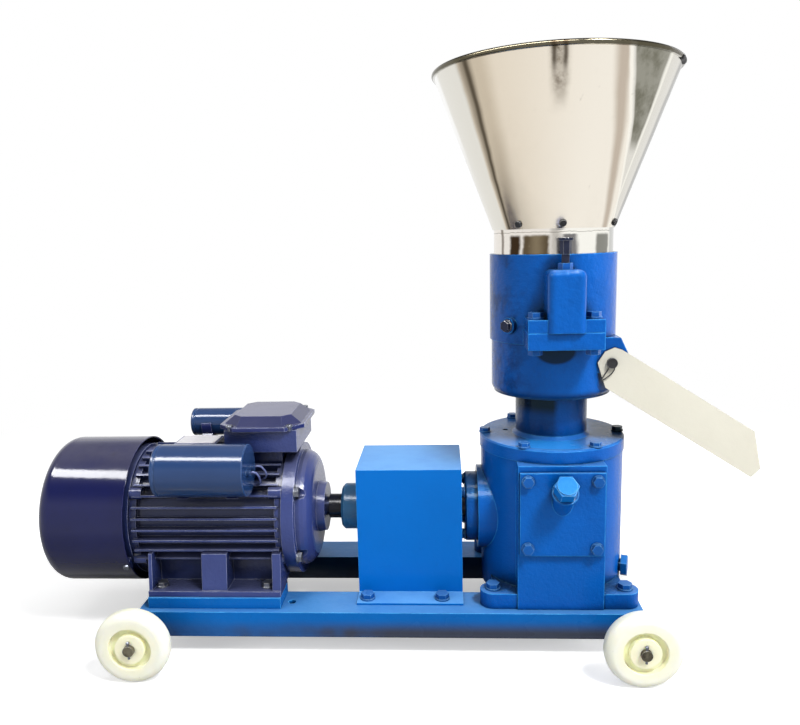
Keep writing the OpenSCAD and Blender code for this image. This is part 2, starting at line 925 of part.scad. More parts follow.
module cable_gland() {
  color([0.06, 0.06, 0.07])
    translate([main_x - box_x, box_w / 2, box_z + box_h / 2]) rotate([-90, 0, 0])
      difference() {
        union() {
          cylinder(h = gland_l / 3, r = gland_r + edge_bevel, $fn = 6);
          translate([0, 0, gland_l / 3]) cylinder(h = gland_l * 2 / 3, r = gland_r);
          translate([0, 0, -2 * box_wall]) cylinder(h = 2 * box_wall, r = gland_thread);
        }
        translate([0, 0, -2 * box_wall]) drill(gland_bore, gland_l + 2 * box_wall);
      }
}

// Children at a capacitor's axis: angle above the horizontal, distance from the motor axis
module at_cap(side, angle, dist, inset) {
  translate([main_x - motor_end + inset, side * dist * cos(angle), drive_z + dist * sin(angle)])
    rotate([0, 90, 0]) children();
}

module capacitor(r, l) {
  rotate_extrude() polygon([[0, 0], [r - cap_crimp, 0], [r, cap_crimp], [r, cap_crimp_w],
    [r - cap_crimp, cap_crimp_w + cap_crimp], [r - cap_crimp, cap_crimp_w + 2 * cap_crimp],
    [r, cap_crimp_w + 3 * cap_crimp], [r, l - cap_crimp], [r - cap_crimp, l], [0, l]]);
  for (side = [-1, 1])
    translate([0, side * r / 3, l]) cylinder(h = cap_terminal_l, r = cap_terminal_r);
}

module start_capacitor() {
  color([0.13, 0.18, 0.40])
    at_cap(-1, start_cap_angle, start_cap_dist, start_cap_inset)
      capacitor(start_cap_r, start_cap_l);
}

module run_capacitor() {
  color([0.13, 0.16, 0.36])
    at_cap(1, run_cap_angle, run_cap_dist, run_cap_inset) capacitor(run_cap_r, run_cap_l);
}

module saddle(side, angle, r, stand) {
  rotate([0, 0, -side * (90 - angle)]) {
    intersection() {
      ring(r + saddle_gap + saddle_t, r + saddle_gap, saddle_w);
      translate([saddle_share * r, -2 * r, 0]) cube([2 * r, 4 * r, saddle_w]);
    }
    translate([r + saddle_gap, -saddle_w / 2, 0]) cube([saddle_t + stand, saddle_w, saddle_w]);
  }
}

module capacitor_saddles() {
  color([0.10, 0.12, 0.26])
    for (share = [0.2, 0.75]) {
      at_cap(-1, start_cap_angle, start_cap_dist, start_cap_inset + share * start_cap_l)
        saddle(-1, start_cap_angle, start_cap_r, 0);
      at_cap(1, run_cap_angle, run_cap_dist, run_cap_inset + share * run_cap_l)
        saddle(1, run_cap_angle, run_cap_r, run_stand - seat_gap);
    }
}

// Blank plate on its pad on top of the motor frame
module motor_nameplate() {
  color([0.80, 0.80, 0.80])
    translate([main_x - plate_x - plate_l / 2, plate_y - plate_w / 2, drive_z + plate_pad_h])
      cube([plate_l, plate_w, plate_t]);
}

module motor_bolts() {
  foot_grip = foot_t + pad_t + rail_t;
  color([0.75, 0.76, 0.78]) {
    for (side = [-1, 1], x = motor_foot_xs)
      translate([main_x - x, side * foot_y, foot_z + foot_t]) hex_bolt(m8, foot_grip);
    along_drive(motor_start - shield_flange + spot_face)
      lug_places() hex_bolt(m8, shield_flange + lug_r);
    translate([main_x - motor_end - fe_flange, 0, drive_z]) rotate([0, -90, 0])
      lug_places() hex_bolt(m8, fe_flange + lug_r);
    translate([main_x - motor_end, 0, drive_z]) rotate([0, -90, 0])
      lug_places(cover_screws)
        translate([cover_r - lug_ring, 0, cover_screw_x]) rotate([0, 90, 0])
          pan_screw(m5, lug_r);
    translate([main_x - box_x, 0, box_z + box_h + lid_rim])
      for (p = lid_screw_places())
        translate(p) pan_screw(m5, lid_rim);
  }
}

module motor_shaft() {
  end = fan_x + fan_l + fan_tail;
  color([0.62, 0.63, 0.65])
    along_drive(end) {
      cylinder(h = end - fe_bearing_x - fe_bearing_l, r = shaft_fan_r);
      translate([0, 0, end - fe_bearing_x - fe_bearing_l])
        cylinder(h = fe_bearing_l, r = fe_bearing_seat);
      translate([0, 0, end - fe_bearing_x])
        cylinder(h = fe_bearing_x - de_bearing_x - de_bearing_l, r = shaft_mid_r);
      translate([0, 0, end - de_bearing_x - de_bearing_l])
        cylinder(h = de_bearing_l, r = de_bearing_seat);
      translate([0, 0, end - de_bearing_x])
        cylinder(h = de_bearing_x - coupling_start + coupling_hub - shaft_in_hub,
          r = shaft_drive_r);
    }
}

module rotor_core() {
  end_ring = 8;
  rotor_r = stator_in - air_gap;
  color([0.60, 0.60, 0.62])
    along_drive(motor_end - stator_inset) {
      ring(rotor_r, shaft_mid_r + fit_gap, stator_l);
      for (z = [-end_ring, stator_l])
        translate([0, 0, z]) ring(0.85 * rotor_r, shaft_mid_r + fit_gap, end_ring);
    }
}

module cooling_fan() {
  color([0.10, 0.10, 0.11])
    along_drive(fan_x + fan_l)
      difference() {
        union() {
          cylinder(h = fan_l, r = fan_hub_r);
          translate([0, 0, fan_l - 2 * fan_blade_t])
            cylinder(h = fan_blade_t, r = fan_disc_r);
          for (i = [0 : fan_blades - 1])
            rotate([0, 0, i * 360 / fan_blades])
              translate([fan_hub_r / 2, -fan_blade_t / 2, 0])
                cube([fan_r - fan_hub_r / 2, fan_blade_t, fan_l - fan_blade_t]);
        }
        drill(shaft_fan_r + fit_gap, fan_l);
      }
}

// Coupling and guard

spider_x = coupling_start - coupling_hub;

// Three jaws of a coupling hub, standing on z = 0
module jaws(turn) {
  far = 2 * coupling_r;
  intersection() {
    difference() {
      ring(coupling_r, leg_in, jaw_l - leg_gap);
      for (i = [0 : 2])
        rotate([0, 0, i * 60])
          translate([-far, -leg_w / 2 - leg_gap, -cut])
            cube([2 * far, leg_w + 2 * leg_gap, jaw_l + 2 * cut]);
    }
    union()
      for (i = [0 : 2])
        rotate([0, 0, turn + i * 120]) linear_extrude(height = jaw_l)
          polygon([[0, 0], [far * cos(30), -far * sin(30)], [far * cos(30), far * sin(30)]]);
  }
}

// Hub with its bevelled end on z = 0 and its jaws at the far end
module coupling_half(turn) {
  rotate_extrude() polygon([[shaft_drive_r + fit_gap, 0], [coupling_r - coupling_bevel, 0],
    [coupling_r, coupling_bevel], [coupling_r, coupling_hub], [shaft_drive_r + fit_gap, coupling_hub]]);
  translate([0, 0, coupling_hub]) jaws(turn);
}

module motor_coupling_half() {
  color([0.16, 0.30, 0.42])
    along_drive(coupling_start) {
      coupling_half(30);
      translate([0, 0, -sleeve_l]) ring(sleeve_r, shaft_drive_r + fit_gap, sleeve_l);
    }
}

module gearbox_coupling_half() {
  color([0.16, 0.30, 0.42])
    along_drive(spider_x - jaw_l - coupling_hub) mirror([0, 0, 1]) coupling_half(90);
}

module coupling_spider() {
  color([0.12, 0.12, 0.12])
    along_drive(spider_x - leg_gap)
      difference() {
        union() {
          cylinder(h = jaw_l - 2 * leg_gap, r = spider_core);
          for (i = [0 : 5])
            rotate([0, 0, i * 60])
              translate([0, -leg_w / 2, 0])
                cube([coupling_r - edge_bevel, leg_w, jaw_l - 2 * leg_gap]);
        }
        drill(spider_hole, jaw_l);
      }
}

module coupling_guard() {
  flange_y = guard_half_w + guard_flange;
  color([0.06, 0.40, 0.80])
    translate([main_x - guard_start, 0, rail_top])
      difference() {
        union() {
          translate([0, -guard_half_w, 0]) cube([guard_l, 2 * guard_half_w, guard_h]);
          translate([0, -flange_y, 0]) cube([guard_l, 2 * flange_y, guard_t]);
        }
        translate([-cut, guard_t - guard_half_w, -cut])
          cube([guard_l + 2 * cut, 2 * (guard_half_w - guard_t), guard_h - guard_t + cut]);
        for (side = [-1, 1], x = guard_bolt_xs())
          translate([guard_start - x, side * guard_bolt_y, 0]) drill(m10_hole, guard_t);
      }
}

// Gearbox

module gearbox_foot_places() {
  for (x = [-1, 1], y = [-1, 1])
    translate([main_x + x * gearbox_foot_x, y * foot_y, rail_top]) children();
}

module top_bolt_places() {
  for (i = [0 : top_bolt_count - 1])
    rotate([0, 0, i * 360 / top_bolt_count]) translate([top_bolt_ring, 0, 0]) children();
}

module hatch_bolt_places() {
  for (x = [-1, 1], z = [hatch_bolt_inset, hatch_h - hatch_bolt_inset])
    translate([main_x + x * hatch_bolt_x, -front_depth, hatch_z + z]) rotate([90, 0, 0]) children();
}

hatch_z = cover_z - hatch_top_gap - hatch_h;

module input_bolt_places() {
  for (a = [45 : 90 : 315])
    rotate([0, 0, a]) translate([input_bolt_ring, 0, 0]) children();
}

module gearbox_outside() {
  on_main(rail_top) {
    cylinder(h = gearbox_h, r = gearbox_r);
    translate([-front_half_w, -front_depth, 0]) cube([2 * front_half_w, front_depth, gearbox_h]);
  }
  along_drive(input_start) cylinder(h = boss_r, r = boss_r);
  gearbox_foot_places() cylinder(h = gearbox_foot_t, r = gearbox_foot_r);
  on_main(rail_top)
    translate([-gearbox_foot_x, -foot_y - gearbox_foot_r, 0])
      cube([2 * gearbox_foot_x, 2 * (foot_y + gearbox_foot_r), gearbox_foot_t]);
}

module gearbox_cavity() {
  on_main(rail_top + gearbox_floor) cylinder(h = gearbox_h, r = cavity_r);
  on_main(rail_top + gearbox_floor)
    translate([-front_half_w + block_wall, -front_depth + block_wall, 0])
      cube([2 * (front_half_w - block_wall), front_depth - block_wall,
        gearbox_h - gearbox_floor - block_wall]);
}

module gearbox_housing() {
  color([0.05, 0.38, 0.78])
    difference() {
      union() {
        difference() {
          gearbox_outside();
          gearbox_cavity();
        }
        on_main(rail_top)
          cylinder(h = foot_bearing_z - rail_top + neck_bearing_l, r = foot_hub_r);
      }
      on_main(foot_bearing_z) cylinder(h = neck_bearing_l + cut, r = neck_bearing_r);
      along_drive(input_start + cut) cylinder(h = input_start, r = input_sleeve_r + fit_gap);
      translate([main_x - window_half, -front_depth - cut, hatch_z + window_inset])
        cube([2 * window_half, block_wall + 2 * cut, hatch_h - 2 * window_inset]);
      on_main(cover_z - 3 * m8) top_bolt_places() cylinder(h = 3 * m8 + cut, r = m8_hole);
      hatch_bolt_places() translate([0, 0, -block_wall]) drill(m8_hole, block_wall);
      along_drive(input_start + cut) input_bolt_places()
        cylinder(h = 2 * m8 + cut, r = m8_hole);
      gearbox_foot_places() drill(m10_hole, gearbox_foot_t);
      on_main(rail_top + drain_z) rotate([0, 90, drain_angle])
        cylinder(h = 2 * gearbox_r, r = drain_r + bolt_gap);
    }
}

module gearbox_top_cover() {
  top = top_cover_t + neck_h;
  seat = top - neck_seal_t - neck_lip_t;
  color([0.05, 0.40, 0.80])
    on_main(cover_z)
      difference() {
        rotate_extrude() polygon([[neck_bearing_r, -top_spigot],
          [cavity_r - seat_gap, -top_spigot], [cavity_r - seat_gap, 0],
          [top_cover_r, 0], [top_cover_r, top_cover_t - edge_bevel],
          [top_cover_r - edge_bevel, top_cover_t],
          [neck_r + neck_fillet, top_cover_t], [neck_r, top_cover_t + neck_fillet],
          [neck_r, top], [neck_seal_r, top], [neck_seal_r, top - neck_seal_t],
          [neck_lip, top - neck_seal_t], [neck_lip, seat], [neck_bearing_r, seat]]);
        top_bolt_places() drill(m8_hole, top_cover_t);
        translate([jack_hole_at[0], jack_hole_at[1], 0]) drill(jack_hole_r, top_cover_t);
        translate([0, 0, top - 2 * m8]) floor_screw_places()
          cylinder(h = 2 * m8 + cut, r = m8_hole);
      }
}

// Children on the oil filler's axis, which leans up from the inspection cover
module at_spout() {
  translate([main_x, -front_depth - hatch_t, hatch_z + hatch_h - spout_drop])
    rotate([90 - spout_tilt, 0, 0]) children();
}

module inspection_cover() {
  color([0.05, 0.38, 0.78])
    difference() {
      union() {
        translate([main_x - hatch_half_w, -front_depth - hatch_t, hatch_z])
          cube([2 * hatch_half_w, hatch_t, hatch_h]);
        difference() {
          at_spout() {
            translate([0, 0, -spout_l]) cylinder(h = 2 * spout_l, r = spout_r);
            translate([0, 0, spout_l]) cylinder(h = spout_flange_t, r = spout_flange_r);
          }
          translate([main_x - front_depth, -front_depth - hatch_t / 2, 0])
            cube([2 * front_depth, front_depth, 2 * cover_z]);
        }
      }
      hatch_bolt_places() drill(m8_hole, hatch_t);
      at_spout() translate([0, 0, -2 * spout_l])
        cylinder(h = 4 * spout_l, r = spout_bore + bolt_gap);
    }
}

module oil_plugs() {
  color([0.05, 0.36, 0.74]) {
    at_spout() translate([0, 0, spout_l + spout_flange_t]) {
      cylinder(h = plug_l, r = plug_r, $fn = 6);
      translate([0, 0, plug_l]) cylinder(h = edge_bevel, r = 0.8 * plug_r);
      translate([0, 0, -spout_l / 2]) cylinder(h = spout_l / 2, r = spout_bore);
    }
    on_main(rail_top + drain_z) rotate([0, 90, drain_angle])
      translate([0, 0, gearbox_r]) {
        translate([0, 0, -gearbox_wall]) cylinder(h = gearbox_wall + edge_bevel, r = drain_r);
        translate([0, 0, edge_bevel]) cylinder(h = plug_l / 2, r = plug_r, $fn = 6);
      }
  }
}

module input_bearing_housing() {
  shoulder = input_flange + input_sleeve;
  color([0.05, 0.38, 0.78])
    along_drive(input_start + input_flange)
      difference() {
        rotate_extrude() polygon([[input_lip, 0], [input_r - edge_bevel, 0],
          [input_r, edge_bevel], [input_r, input_flange],
          [input_sleeve_r, input_flange], [input_sleeve_r, shoulder],
          [input_bore, shoulder], [input_bore, input_lip_t + seal_t],
          [input_lip, input_lip_t + seal_t]]);
        input_bolt_places() drill(m8_hole, input_flange);
      }
}

module gearbox_and_guard_bolts() {
  color([0.05, 0.30, 0.66]) {
    gearbox_foot_places() translate([0, 0, gearbox_foot_t]) hex_bolt(m10, gearbox_foot_t + rail_t);
    on_main(neck_z) top_bolt_places() hex_bolt(m8, top_cover_t + 2 * m8);
    hatch_bolt_places() translate([0, 0, hatch_t]) hex_bolt(m8, hatch_t + block_wall);
    translate([main_x - input_start - input_flange, 0, drive_z]) rotate([0, -90, 0])
      input_bolt_places() hex_bolt(m8, input_flange + 2 * m8);
    for (side = [-1, 1], x = guard_bolt_xs())
      translate([main_x - x, side * guard_bolt_y, rail_top + guard_t])
        hex_bolt(m10, guard_t + rail_t);
  }
}

// A sealed ball bearing: outer ring, side shields and inner ring in one block
module bearing(r_out, r_in, l) {
  dish = l / 10;
  lip = (r_out - r_in) / 5;
  rotate_extrude() polygon([[r_in + running_gap, 0], [r_in + lip, 0], [r_in + lip, dish],
    [r_out - lip, dish], [r_out - lip, 0], [r_out - fit_gap, 0], [r_out - fit_gap, l],
    [r_out - lip, l], [r_out - lip, l - dish], [r_in + lip, l - dish], [r_in + lip, l],
    [r_in + running_gap, l]]);
}

pinion_bearing_x = input_start + input_flange - input_lip_t - seal_t;

module shaft_bearings() {
  color([0.70, 0.71, 0.73]) {
    along_drive(de_bearing_x + de_bearing_l)
      bearing(de_bearing_r, de_bearing_seat, de_bearing_l);
    along_drive(fe_bearing_x + fe_bearing_l)
      bearing(fe_bearing_r, fe_bearing_seat, fe_bearing_l);
    along_drive(pinion_bearing_x) {
      bearing(input_bore, pinion_seat, pinion_bearing_l);
      translate([0, 0, pinion_bearing_l + pinion_spacer])
        bearing(input_bore, pinion_seat, input_sleeve + seal_t - 2 * pinion_spacer
          - pinion_bearing_l);
    }
    on_main(foot_bearing_z) bearing(neck_bearing_r, neck_bearing_seat, neck_bearing_l);
    on_main(neck_bearing_z) bearing(neck_bearing_r, neck_bearing_seat, neck_bearing_l);
  }
}

neck_bearing_z = chamber_z - neck_seal_t - neck_lip_t - neck_bearing_l;

module shaft_seals() {
  color([0.10, 0.10, 0.10]) {
    on_main(chamber_z - neck_seal_t) ring(neck_seal_r - fit_gap, main_neck_r + running_gap,
      neck_seal_t - seat_gap);
    along_drive(input_start + input_flange)
      ring(input_lip - fit_gap, shaft_drive_r + running_gap, seal_t);
  }
}

// Bevel gears. Both tooth forms lie on cones whose tip is where the two shafts meet.

function involute(a) = tan(a) * 180 / PI - a;

pressure = 20;
shift_share = 0.45;
pinion_tip_share = 1.2;
pinion_root_share = 0.85;
crown_tip_share = 0.55;
crown_root_share = 1.45;
backlash_share = 0.08;

// Half angle of a pinion tooth at a radius, both as shares of the module
function pinion_half_angle(r) = let (
    pitch = pinion_teeth / 2,
    base = pitch * cos(pressure),
    half = (PI / 4 + shift_share * tan(pressure) - backlash_share) / pitch * 180 / PI,
    a = r > base ? acos(base / r) : 0)
  half - (involute(a) - involute(pressure));

// Outline of the pinion at its outer end
function pinion_outline() = let (
    pitch = pinion_teeth / 2,
    rs = [for (s = [-pinion_root_share, -0.4, 0, 0.4, 0.8, pinion_tip_share]) pitch + s])
  [for (i = [0 : pinion_teeth - 1])
    each concat(
      [for (k = [0 : len(rs) - 1]) let (a = i * 360 / pinion_teeth - pinion_half_angle(rs[k]))
        module_out * rs[k] * [cos(a), sin(a)]],
      [for (k = [len(rs) - 1 : -1 : 0]) let (a = i * 360 / pinion_teeth + pinion_half_angle(rs[k]))
        module_out * rs[k] * [cos(a), sin(a)]])];

module pinion_shaft() {
  end = spider_x - jaw_l - shaft_in_hub;
  color([0.55, 0.56, 0.58])
    union() {
      along_drive(end) cylinder(h = end - pinion_bearing_x, r = shaft_drive_r);
      along_drive(pinion_bearing_x) cylinder(h = pinion_bearing_x - pinion_out, r = pinion_seat);
      along_drive(pinion_out) rotate([0, 0, 180])
        linear_extrude(height = tooth_l, scale = pinion_in / pinion_out)
          polygon(pinion_outline());
    }
}

// Radius and half angle of a crown tooth at a height above the pitch cone, on the widest section
function crown_point(s, h) = let (
    a = 90 - pitch_cone + atan(s * module_out / cone_dist),
    half = (PI / 4 - shift_share * tan(pressure) - backlash_share - s * tan(pressure))
      * module_out / crown_r * 180 / PI)
  [h * tan(a), half];

module crown_teeth_block() {
  tip = crown_point(crown_tip_share, 1);
  root = crown_point(-crown_root_share, 1);
  h_far = (crown_r + edge_bevel) / root[0];
  h_near = (crown_r - tooth_l - edge_bevel) / tip[0];
  rows = [for (s = [-crown_root_share, -0.8, -0.2, crown_tip_share]) crown_point(s, h_far)];
  outline = [for (i = [0 : crown_teeth - 1])
    each concat(
      [for (k = [0 : 3]) let (a = i * 360 / crown_teeth - rows[k][1])
        rows[k][0] * [cos(a), sin(a)]],
      [for (k = [3 : -1 : 0]) let (a = i * 360 / crown_teeth + rows[k][1])
        rows[k][0] * [cos(a), sin(a)]])];
  intersection() {
    translate([0, 0, drive_z - h_far])
      linear_extrude(height = h_far - h_near, scale = h_near / h_far) polygon(outline);
    translate([0, 0, drive_z - h_far]) ring(crown_r + edge_bevel / 2, crown_r - tooth_l, h_far);
  }
}

module crown_gear() {
  root = crown_point(-crown_root_share, 1);
  base_z = drive_z - (crown_r + edge_bevel) / root[0];
  color([0.50, 0.51, 0.53])
    translate([main_x, 0, 0])
      difference() {
        union() {
          crown_teeth_block();
          translate([0, 0, base_z - crown_body_t + edge_bevel])
            cylinder(h = crown_body_t, r = crown_r + edge_bevel / 2);
          translate([0, 0, base_z - crown_hub_l]) cylinder(h = crown_hub_l, r = crown_hub_r);
        }
        translate([0, 0, base_z - crown_hub_l - cut])
          cylinder(h = 2 * drive_height, r = shaft_gear_r + fit_gap);
      }
}

// Die shaft and what turns with it

module main_shaft() {
  color([0.60, 0.61, 0.63]) {
    on_main(foot_bearing_z) cylinder(h = neck_bearing_l, r = neck_bearing_seat);
    on_main(foot_bearing_z + neck_bearing_l)
      cylinder(h = neck_bearing_z - foot_bearing_z - neck_bearing_l, r = shaft_gear_r);
    on_main(neck_bearing_z) cylinder(h = neck_bearing_l, r = neck_bearing_seat);
    on_main(neck_bearing_z + neck_bearing_l)
      cylinder(h = sweeper_z - neck_bearing_z - neck_bearing_l, r = main_neck_r);
    on_main(sweeper_z) cylinder(h = die_top - sweeper_z, r = sweeper_seat_r);
    on_main(die_top) cylinder(h = die_nut_h + thread_tail, r = die_thread_r);
  }
}

module pellet_sweeper() {
  color([0.52, 0.53, 0.55])
    on_main(sweeper_z)
      difference() {
        union() {
          cylinder(h = die_z - sweeper_z, r = sweeper_hub_r);
          translate([0, 0, sweeper_lift]) cylinder(h = sweeper_t, r = sweeper_r);
          for (i = [0 : sweeper_blades - 1])
            rotate([0, 0, i * 360 / sweeper_blades])
              translate([sweeper_hub_r / 2, -sweeper_t / 2, sweeper_lift])
                cube([sweeper_r - sweeper_hub_r / 2 - sweeper_t, sweeper_t,
                  sweeper_t + sweeper_blade_h]);
        }
        drill(sweeper_seat_r + fit_gap, die_z - sweeper_z);
      }
}

module die_plate() {
  color([0.58, 0.58, 0.60])
    on_main(die_z)
      difference() {
        cylinder(h = die_t, r = die_r);
        drill(sweeper_seat_r + fit_gap, die_t);
        for (r = die_rings)
          for (i = [0 : floor(2 * PI * r / die_pitch) - 1])
            rotate([0, 0, i * 360 / floor(2 * PI * r / die_pitch)])
              translate([r, 0, 0]) drill(die_hole_r, die_t);
      }
}

module die_nut() {
  color([0.45, 0.46, 0.48])
    on_main(die_top)
      difference() {
        union() {
          cylinder(h = edge_bevel, r = die_nut_r + edge_bevel);
          translate([0, 0, edge_bevel])
            cylinder(h = die_nut_h - edge_bevel, r = die_nut_r, $fn = 6);
        }
        drill(die_thread_r + fit_gap, die_nut_h);
      }
}

// Pelleting head

module floor_screw_places() {
  for (i = [0 : floor_screw_count - 1])
    rotate([0, 0, 45 + i * 360 / floor_screw_count])
      translate([floor_screw_ring, 0, 0]) children();
}

module chamber_shell() {
  union() {
    translate([0, 0, chamber_round]) cylinder(h = chamber_h - chamber_round, r = chamber_r);
    cylinder(h = chamber_h, r = chamber_r - chamber_round);
    translate([0, 0, chamber_round]) rotate_extrude()
      translate([chamber_r - chamber_round, 0]) circle(r = chamber_round);
    ring(spigot_out - fit_gap, spigot_out - spigot_wall, chamber_h + spigot_h);
  }
}

// Hood and cheeks that carry the chute's pins
module outlet_hood() {
  reach = chute_pivot + hood_reach;
  rotate([90, 0, 0])
    translate([0, 0, -cheek_half_w]) linear_extrude(height = 2 * cheek_half_w)
      polygon([[cheek_in, chamber_h - hood_t], [reach, chamber_h - hood_t - hood_slope],
        [reach, chamber_h - hood_slope], [chute_pivot + hood_t, chamber_h + hood_rise - edge_bevel],
        [cheek_in, chamber_h + hood_rise]]);
  for (side = [-1, 1])
    translate([0, side * (cheek_half_w - cheek_t / 2), 0]) rotate([90, 0, 0])
      translate([0, 0, -cheek_t / 2]) linear_extrude(height = cheek_t)
        polygon([[cheek_in, chamber_h - hood_t], [cheek_in, chamber_h - chute_drop - cheek_drop],
          [chute_pivot + cheek_drop, chamber_h - chute_drop - cheek_drop],
          [reach, chamber_h - hood_t - hood_slope], [reach, chamber_h - hood_slope],
          [cheek_in, chamber_h]]);
}

module lower_chamber() {
  color([0.05, 0.38, 0.78])
    on_main(chamber_z)
      difference() {
        union() {
          chamber_shell();
          outlet_hood();
        }
        translate([0, 0, chamber_floor]) cylinder(h = chamber_h, r = chamber_bore);
        drill(chamber_hole_r, chamber_floor);
        translate([0, 0, chamber_h]) ring(barrel_r + seat_gap, spigot_out - fit_gap, chamber_h);
        translate([0, 0, chamber_h + spigot_h]) cylinder(h = chamber_h, r = barrel_r + seat_gap);
        translate([chamber_bore / 2, -outlet_half_w, chamber_floor + outlet_floor])
          cube([chamber_r, 2 * outlet_half_w, outlet_h]);
        floor_screw_places() drill(m8_hole, chamber_floor);
        translate([chute_pivot, 0, chamber_h - chute_drop]) rotate([90, 0, 0])
          cylinder(h = 4 * cheek_half_w, r = pin_r + running_gap, center = true);
      }
}

module casing_screws() {
  color([0.20, 0.21, 0.23]) {
    on_main(chamber_z)
      floor_screw_places() translate([0, 0, chamber_floor]) pan_screw(m8, chamber_floor + m8);
    lock_places()
      translate([0, 0, lock_h]) hex_bolt(m8, barrel_r + lock_h - barrel_bore - edge_bevel);
  }
}

ear_y = [1, -1];
slot_low = roller_z - roller_shaft_r - slide_gap;
slot_high = roller_z + roller_shaft_r + roller_travel + slot_head;
slot_half = roller_shaft_r + slide_gap;

module bracket_bolt_places() {
  for (x = [-1, 1], y = ear_y)
    translate([main_x + x * bracket_bolt_x, y * bracket_bolt_y, barrel_z]) children();
}

module lock_places() {
  on_main(barrel_z + lock_z)
    for (a = [43, 223])
      rotate([0, 0, a]) translate([barrel_r, 0, 0]) rotate([0, 90, 0]) children();
}

module upper_barrel() {
  color([0.05, 0.38, 0.78])
    difference() {
      union() {
        on_main(barrel_z) {
          cylinder(h = barrel_h, r = barrel_r);
          translate([-ear_half_w, -ear_depth, 0]) cube([2 * ear_half_w, 2 * ear_depth, ear_h]);
        }
        lock_places() translate([0, 0, -lock_h]) cylinder(h = 2 * lock_h, r = lock_r);
      }
      lock_places() translate([0, 0, -2 * lock_h]) cylinder(h = 3 * lock_h + cut, r = m8_hole);
      on_main(barrel_z) drill(barrel_bore, barrel_h);
      on_main(barrel_z - cut) cylinder(h = spigot_h + cut + seat_gap, r = spigot_out + fit_gap);
      translate([main_x - slot_half, -barrel_r - cut, slot_low])
        cube([2 * slot_half, 2 * (barrel_r + cut), slot_high - slot_low]);
      bracket_bolt_places() drill(m10_hole, ear_h);
    }
}

// One bracket, standing on z = 0 with the barrel behind it on +Y
module roller_bracket() {
  inner = bracket_half_w - bracket_round;
  front = bracket_depth - bracket_round;
  difference() {
    union() {
      translate([-ear_half_w, -ear_depth, 0])
        cube([2 * ear_half_w, ear_depth - bracket_back, bracket_flange]);
      hull() {
        for (x = [-inner, inner]) {
          translate([x, -front, 0])
            cylinder(h = bracket_h - bracket_round, r = bracket_round, $fn = 32);
          translate([x, -front, bracket_h - bracket_round])
            sphere(r = bracket_round, $fn = 32);
          translate([x, -bracket_back, 0])
            cylinder(h = bracket_h - bracket_round, r = bracket_round, $fn = 32);
          translate([x, -bracket_back, bracket_h - bracket_round])
            sphere(r = bracket_round, $fn = 32);
        }
      }
    }
    translate([0, 0, -cut]) cylinder(h = 2 * bracket_h, r = barrel_r + seat_gap);
    translate([-slot_half, -shaft_end - seat_gap, slot_low - barrel_z - ear_h])
      cube([2 * slot_half, shaft_end, slot_high - slot_low]);
    translate([0, -bracket_bolt_y, bracket_h / 2])
      cylinder(h = bracket_h, r = screw_r + running_gap);
    for (x = [-1, 1])
      translate([x * bracket_bolt_x, -bracket_bolt_y, 0]) drill(m10_hole, bracket_flange);
  }
}

module roller_brackets() {
  color([0.06, 0.40, 0.80])
    for (turn = [0, 180])
      on_main(barrel_z + ear_h) rotate([0, 0, turn]) roller_bracket();
}

bracket_top = barrel_z + ear_h + bracket_h;

module bracket_fasteners() {
  grip = ear_h + bracket_flange;
  color([0.06, 0.34, 0.70]) {
    bracket_bolt_places()
      translate([0, 0, grip]) hex_bolt(m10, grip + nut_h_share * m10, true);
    for (y = ear_y)
      translate([main_x, y * bracket_bolt_y, bracket_top])
        difference() {
          cylinder(h = adjust_nut_h, r = adjust_nut_r, $fn = 6);
          drill(screw_r + running_gap, adjust_nut_h);
        }
  }
}

module adjusting_screw(side) {
  tip = roller_z + roller_shaft_r - screw_flat + screw_tip_gap;
  head = bracket_top + screw_neck;
  color([0.14, 0.14, 0.16])
    translate([main_x, side * bracket_bolt_y, 0]) {
      translate([0, 0, tip]) cylinder(h = head - tip, r = screw_r);
      translate([0, 0, head]) cylinder(h = screw_head_h, r = screw_head_r, $fn = 6);
      translate([0, 0, head + screw_head_h]) cylinder(h = screw_cap_h, r = screw_cap_r);
    }
}

module front_adjusting_screw() { adjusting_screw(-1); }
module rear_adjusting_screw() { adjusting_screw(1); }

module roller_shaft() {
  color([0.62, 0.63, 0.65])
    translate([main_x, 0, roller_z])
      difference() {
        rotate([90, 0, 0]) union() {
          cylinder(h = 2 * shaft_end, r = roller_shaft_r, center = true);
          cylinder(h = 2 * (roller_in - collar_gap), r = shaft_collar_r, center = true);
          for (side = [-1, 1])
            translate([0, 0, side * (roller_in + roller_w + collar_gap + clip_t / 2)])
              cylinder(h = clip_t, r = clip_r, center = true);
        }
        for (side = [-1, 1])
          translate([-roller_shaft_r, side * bracket_bolt_y - screw_head_r,
            roller_shaft_r - screw_flat])
            cube([2 * roller_shaft_r, 2 * screw_head_r, roller_shaft_r]);
      }
}

module roller(side) {
  color([0.50, 0.50, 0.52])
    translate([main_x, side * roller_in, roller_z]) rotate([-90 * side, 0, 0])
      difference() {
        cylinder(h = roller_w, r = roller_r);
        drill(roller_shaft_r + running_gap, roller_w);
        for (i = [0 : roller_grooves - 1])
          rotate([0, 0, i * 360 / roller_grooves])
            translate([roller_r, 0, 0]) drill(roller_groove_r, roller_w);
      }
}

module front_roller() { roller(-1); }
module rear_roller() { roller(1); }

// Hopper

cone_slope = (hopper_r - collar_r - sheet_t / 2) / hopper_h;

// Children on each hopper screw's axis, with +Z pointing out of the cone
module hopper_screw_places() {
  on_main(cone_z + hopper_screw_z)
    for (a = hopper_screw_angles)
      rotate([0, 0, a]) translate([collar_r + 1.5 * sheet_t + cone_slope * hopper_screw_z, 0, 0])
        rotate([0, 90 + atan(cone_slope), 0]) children();
}

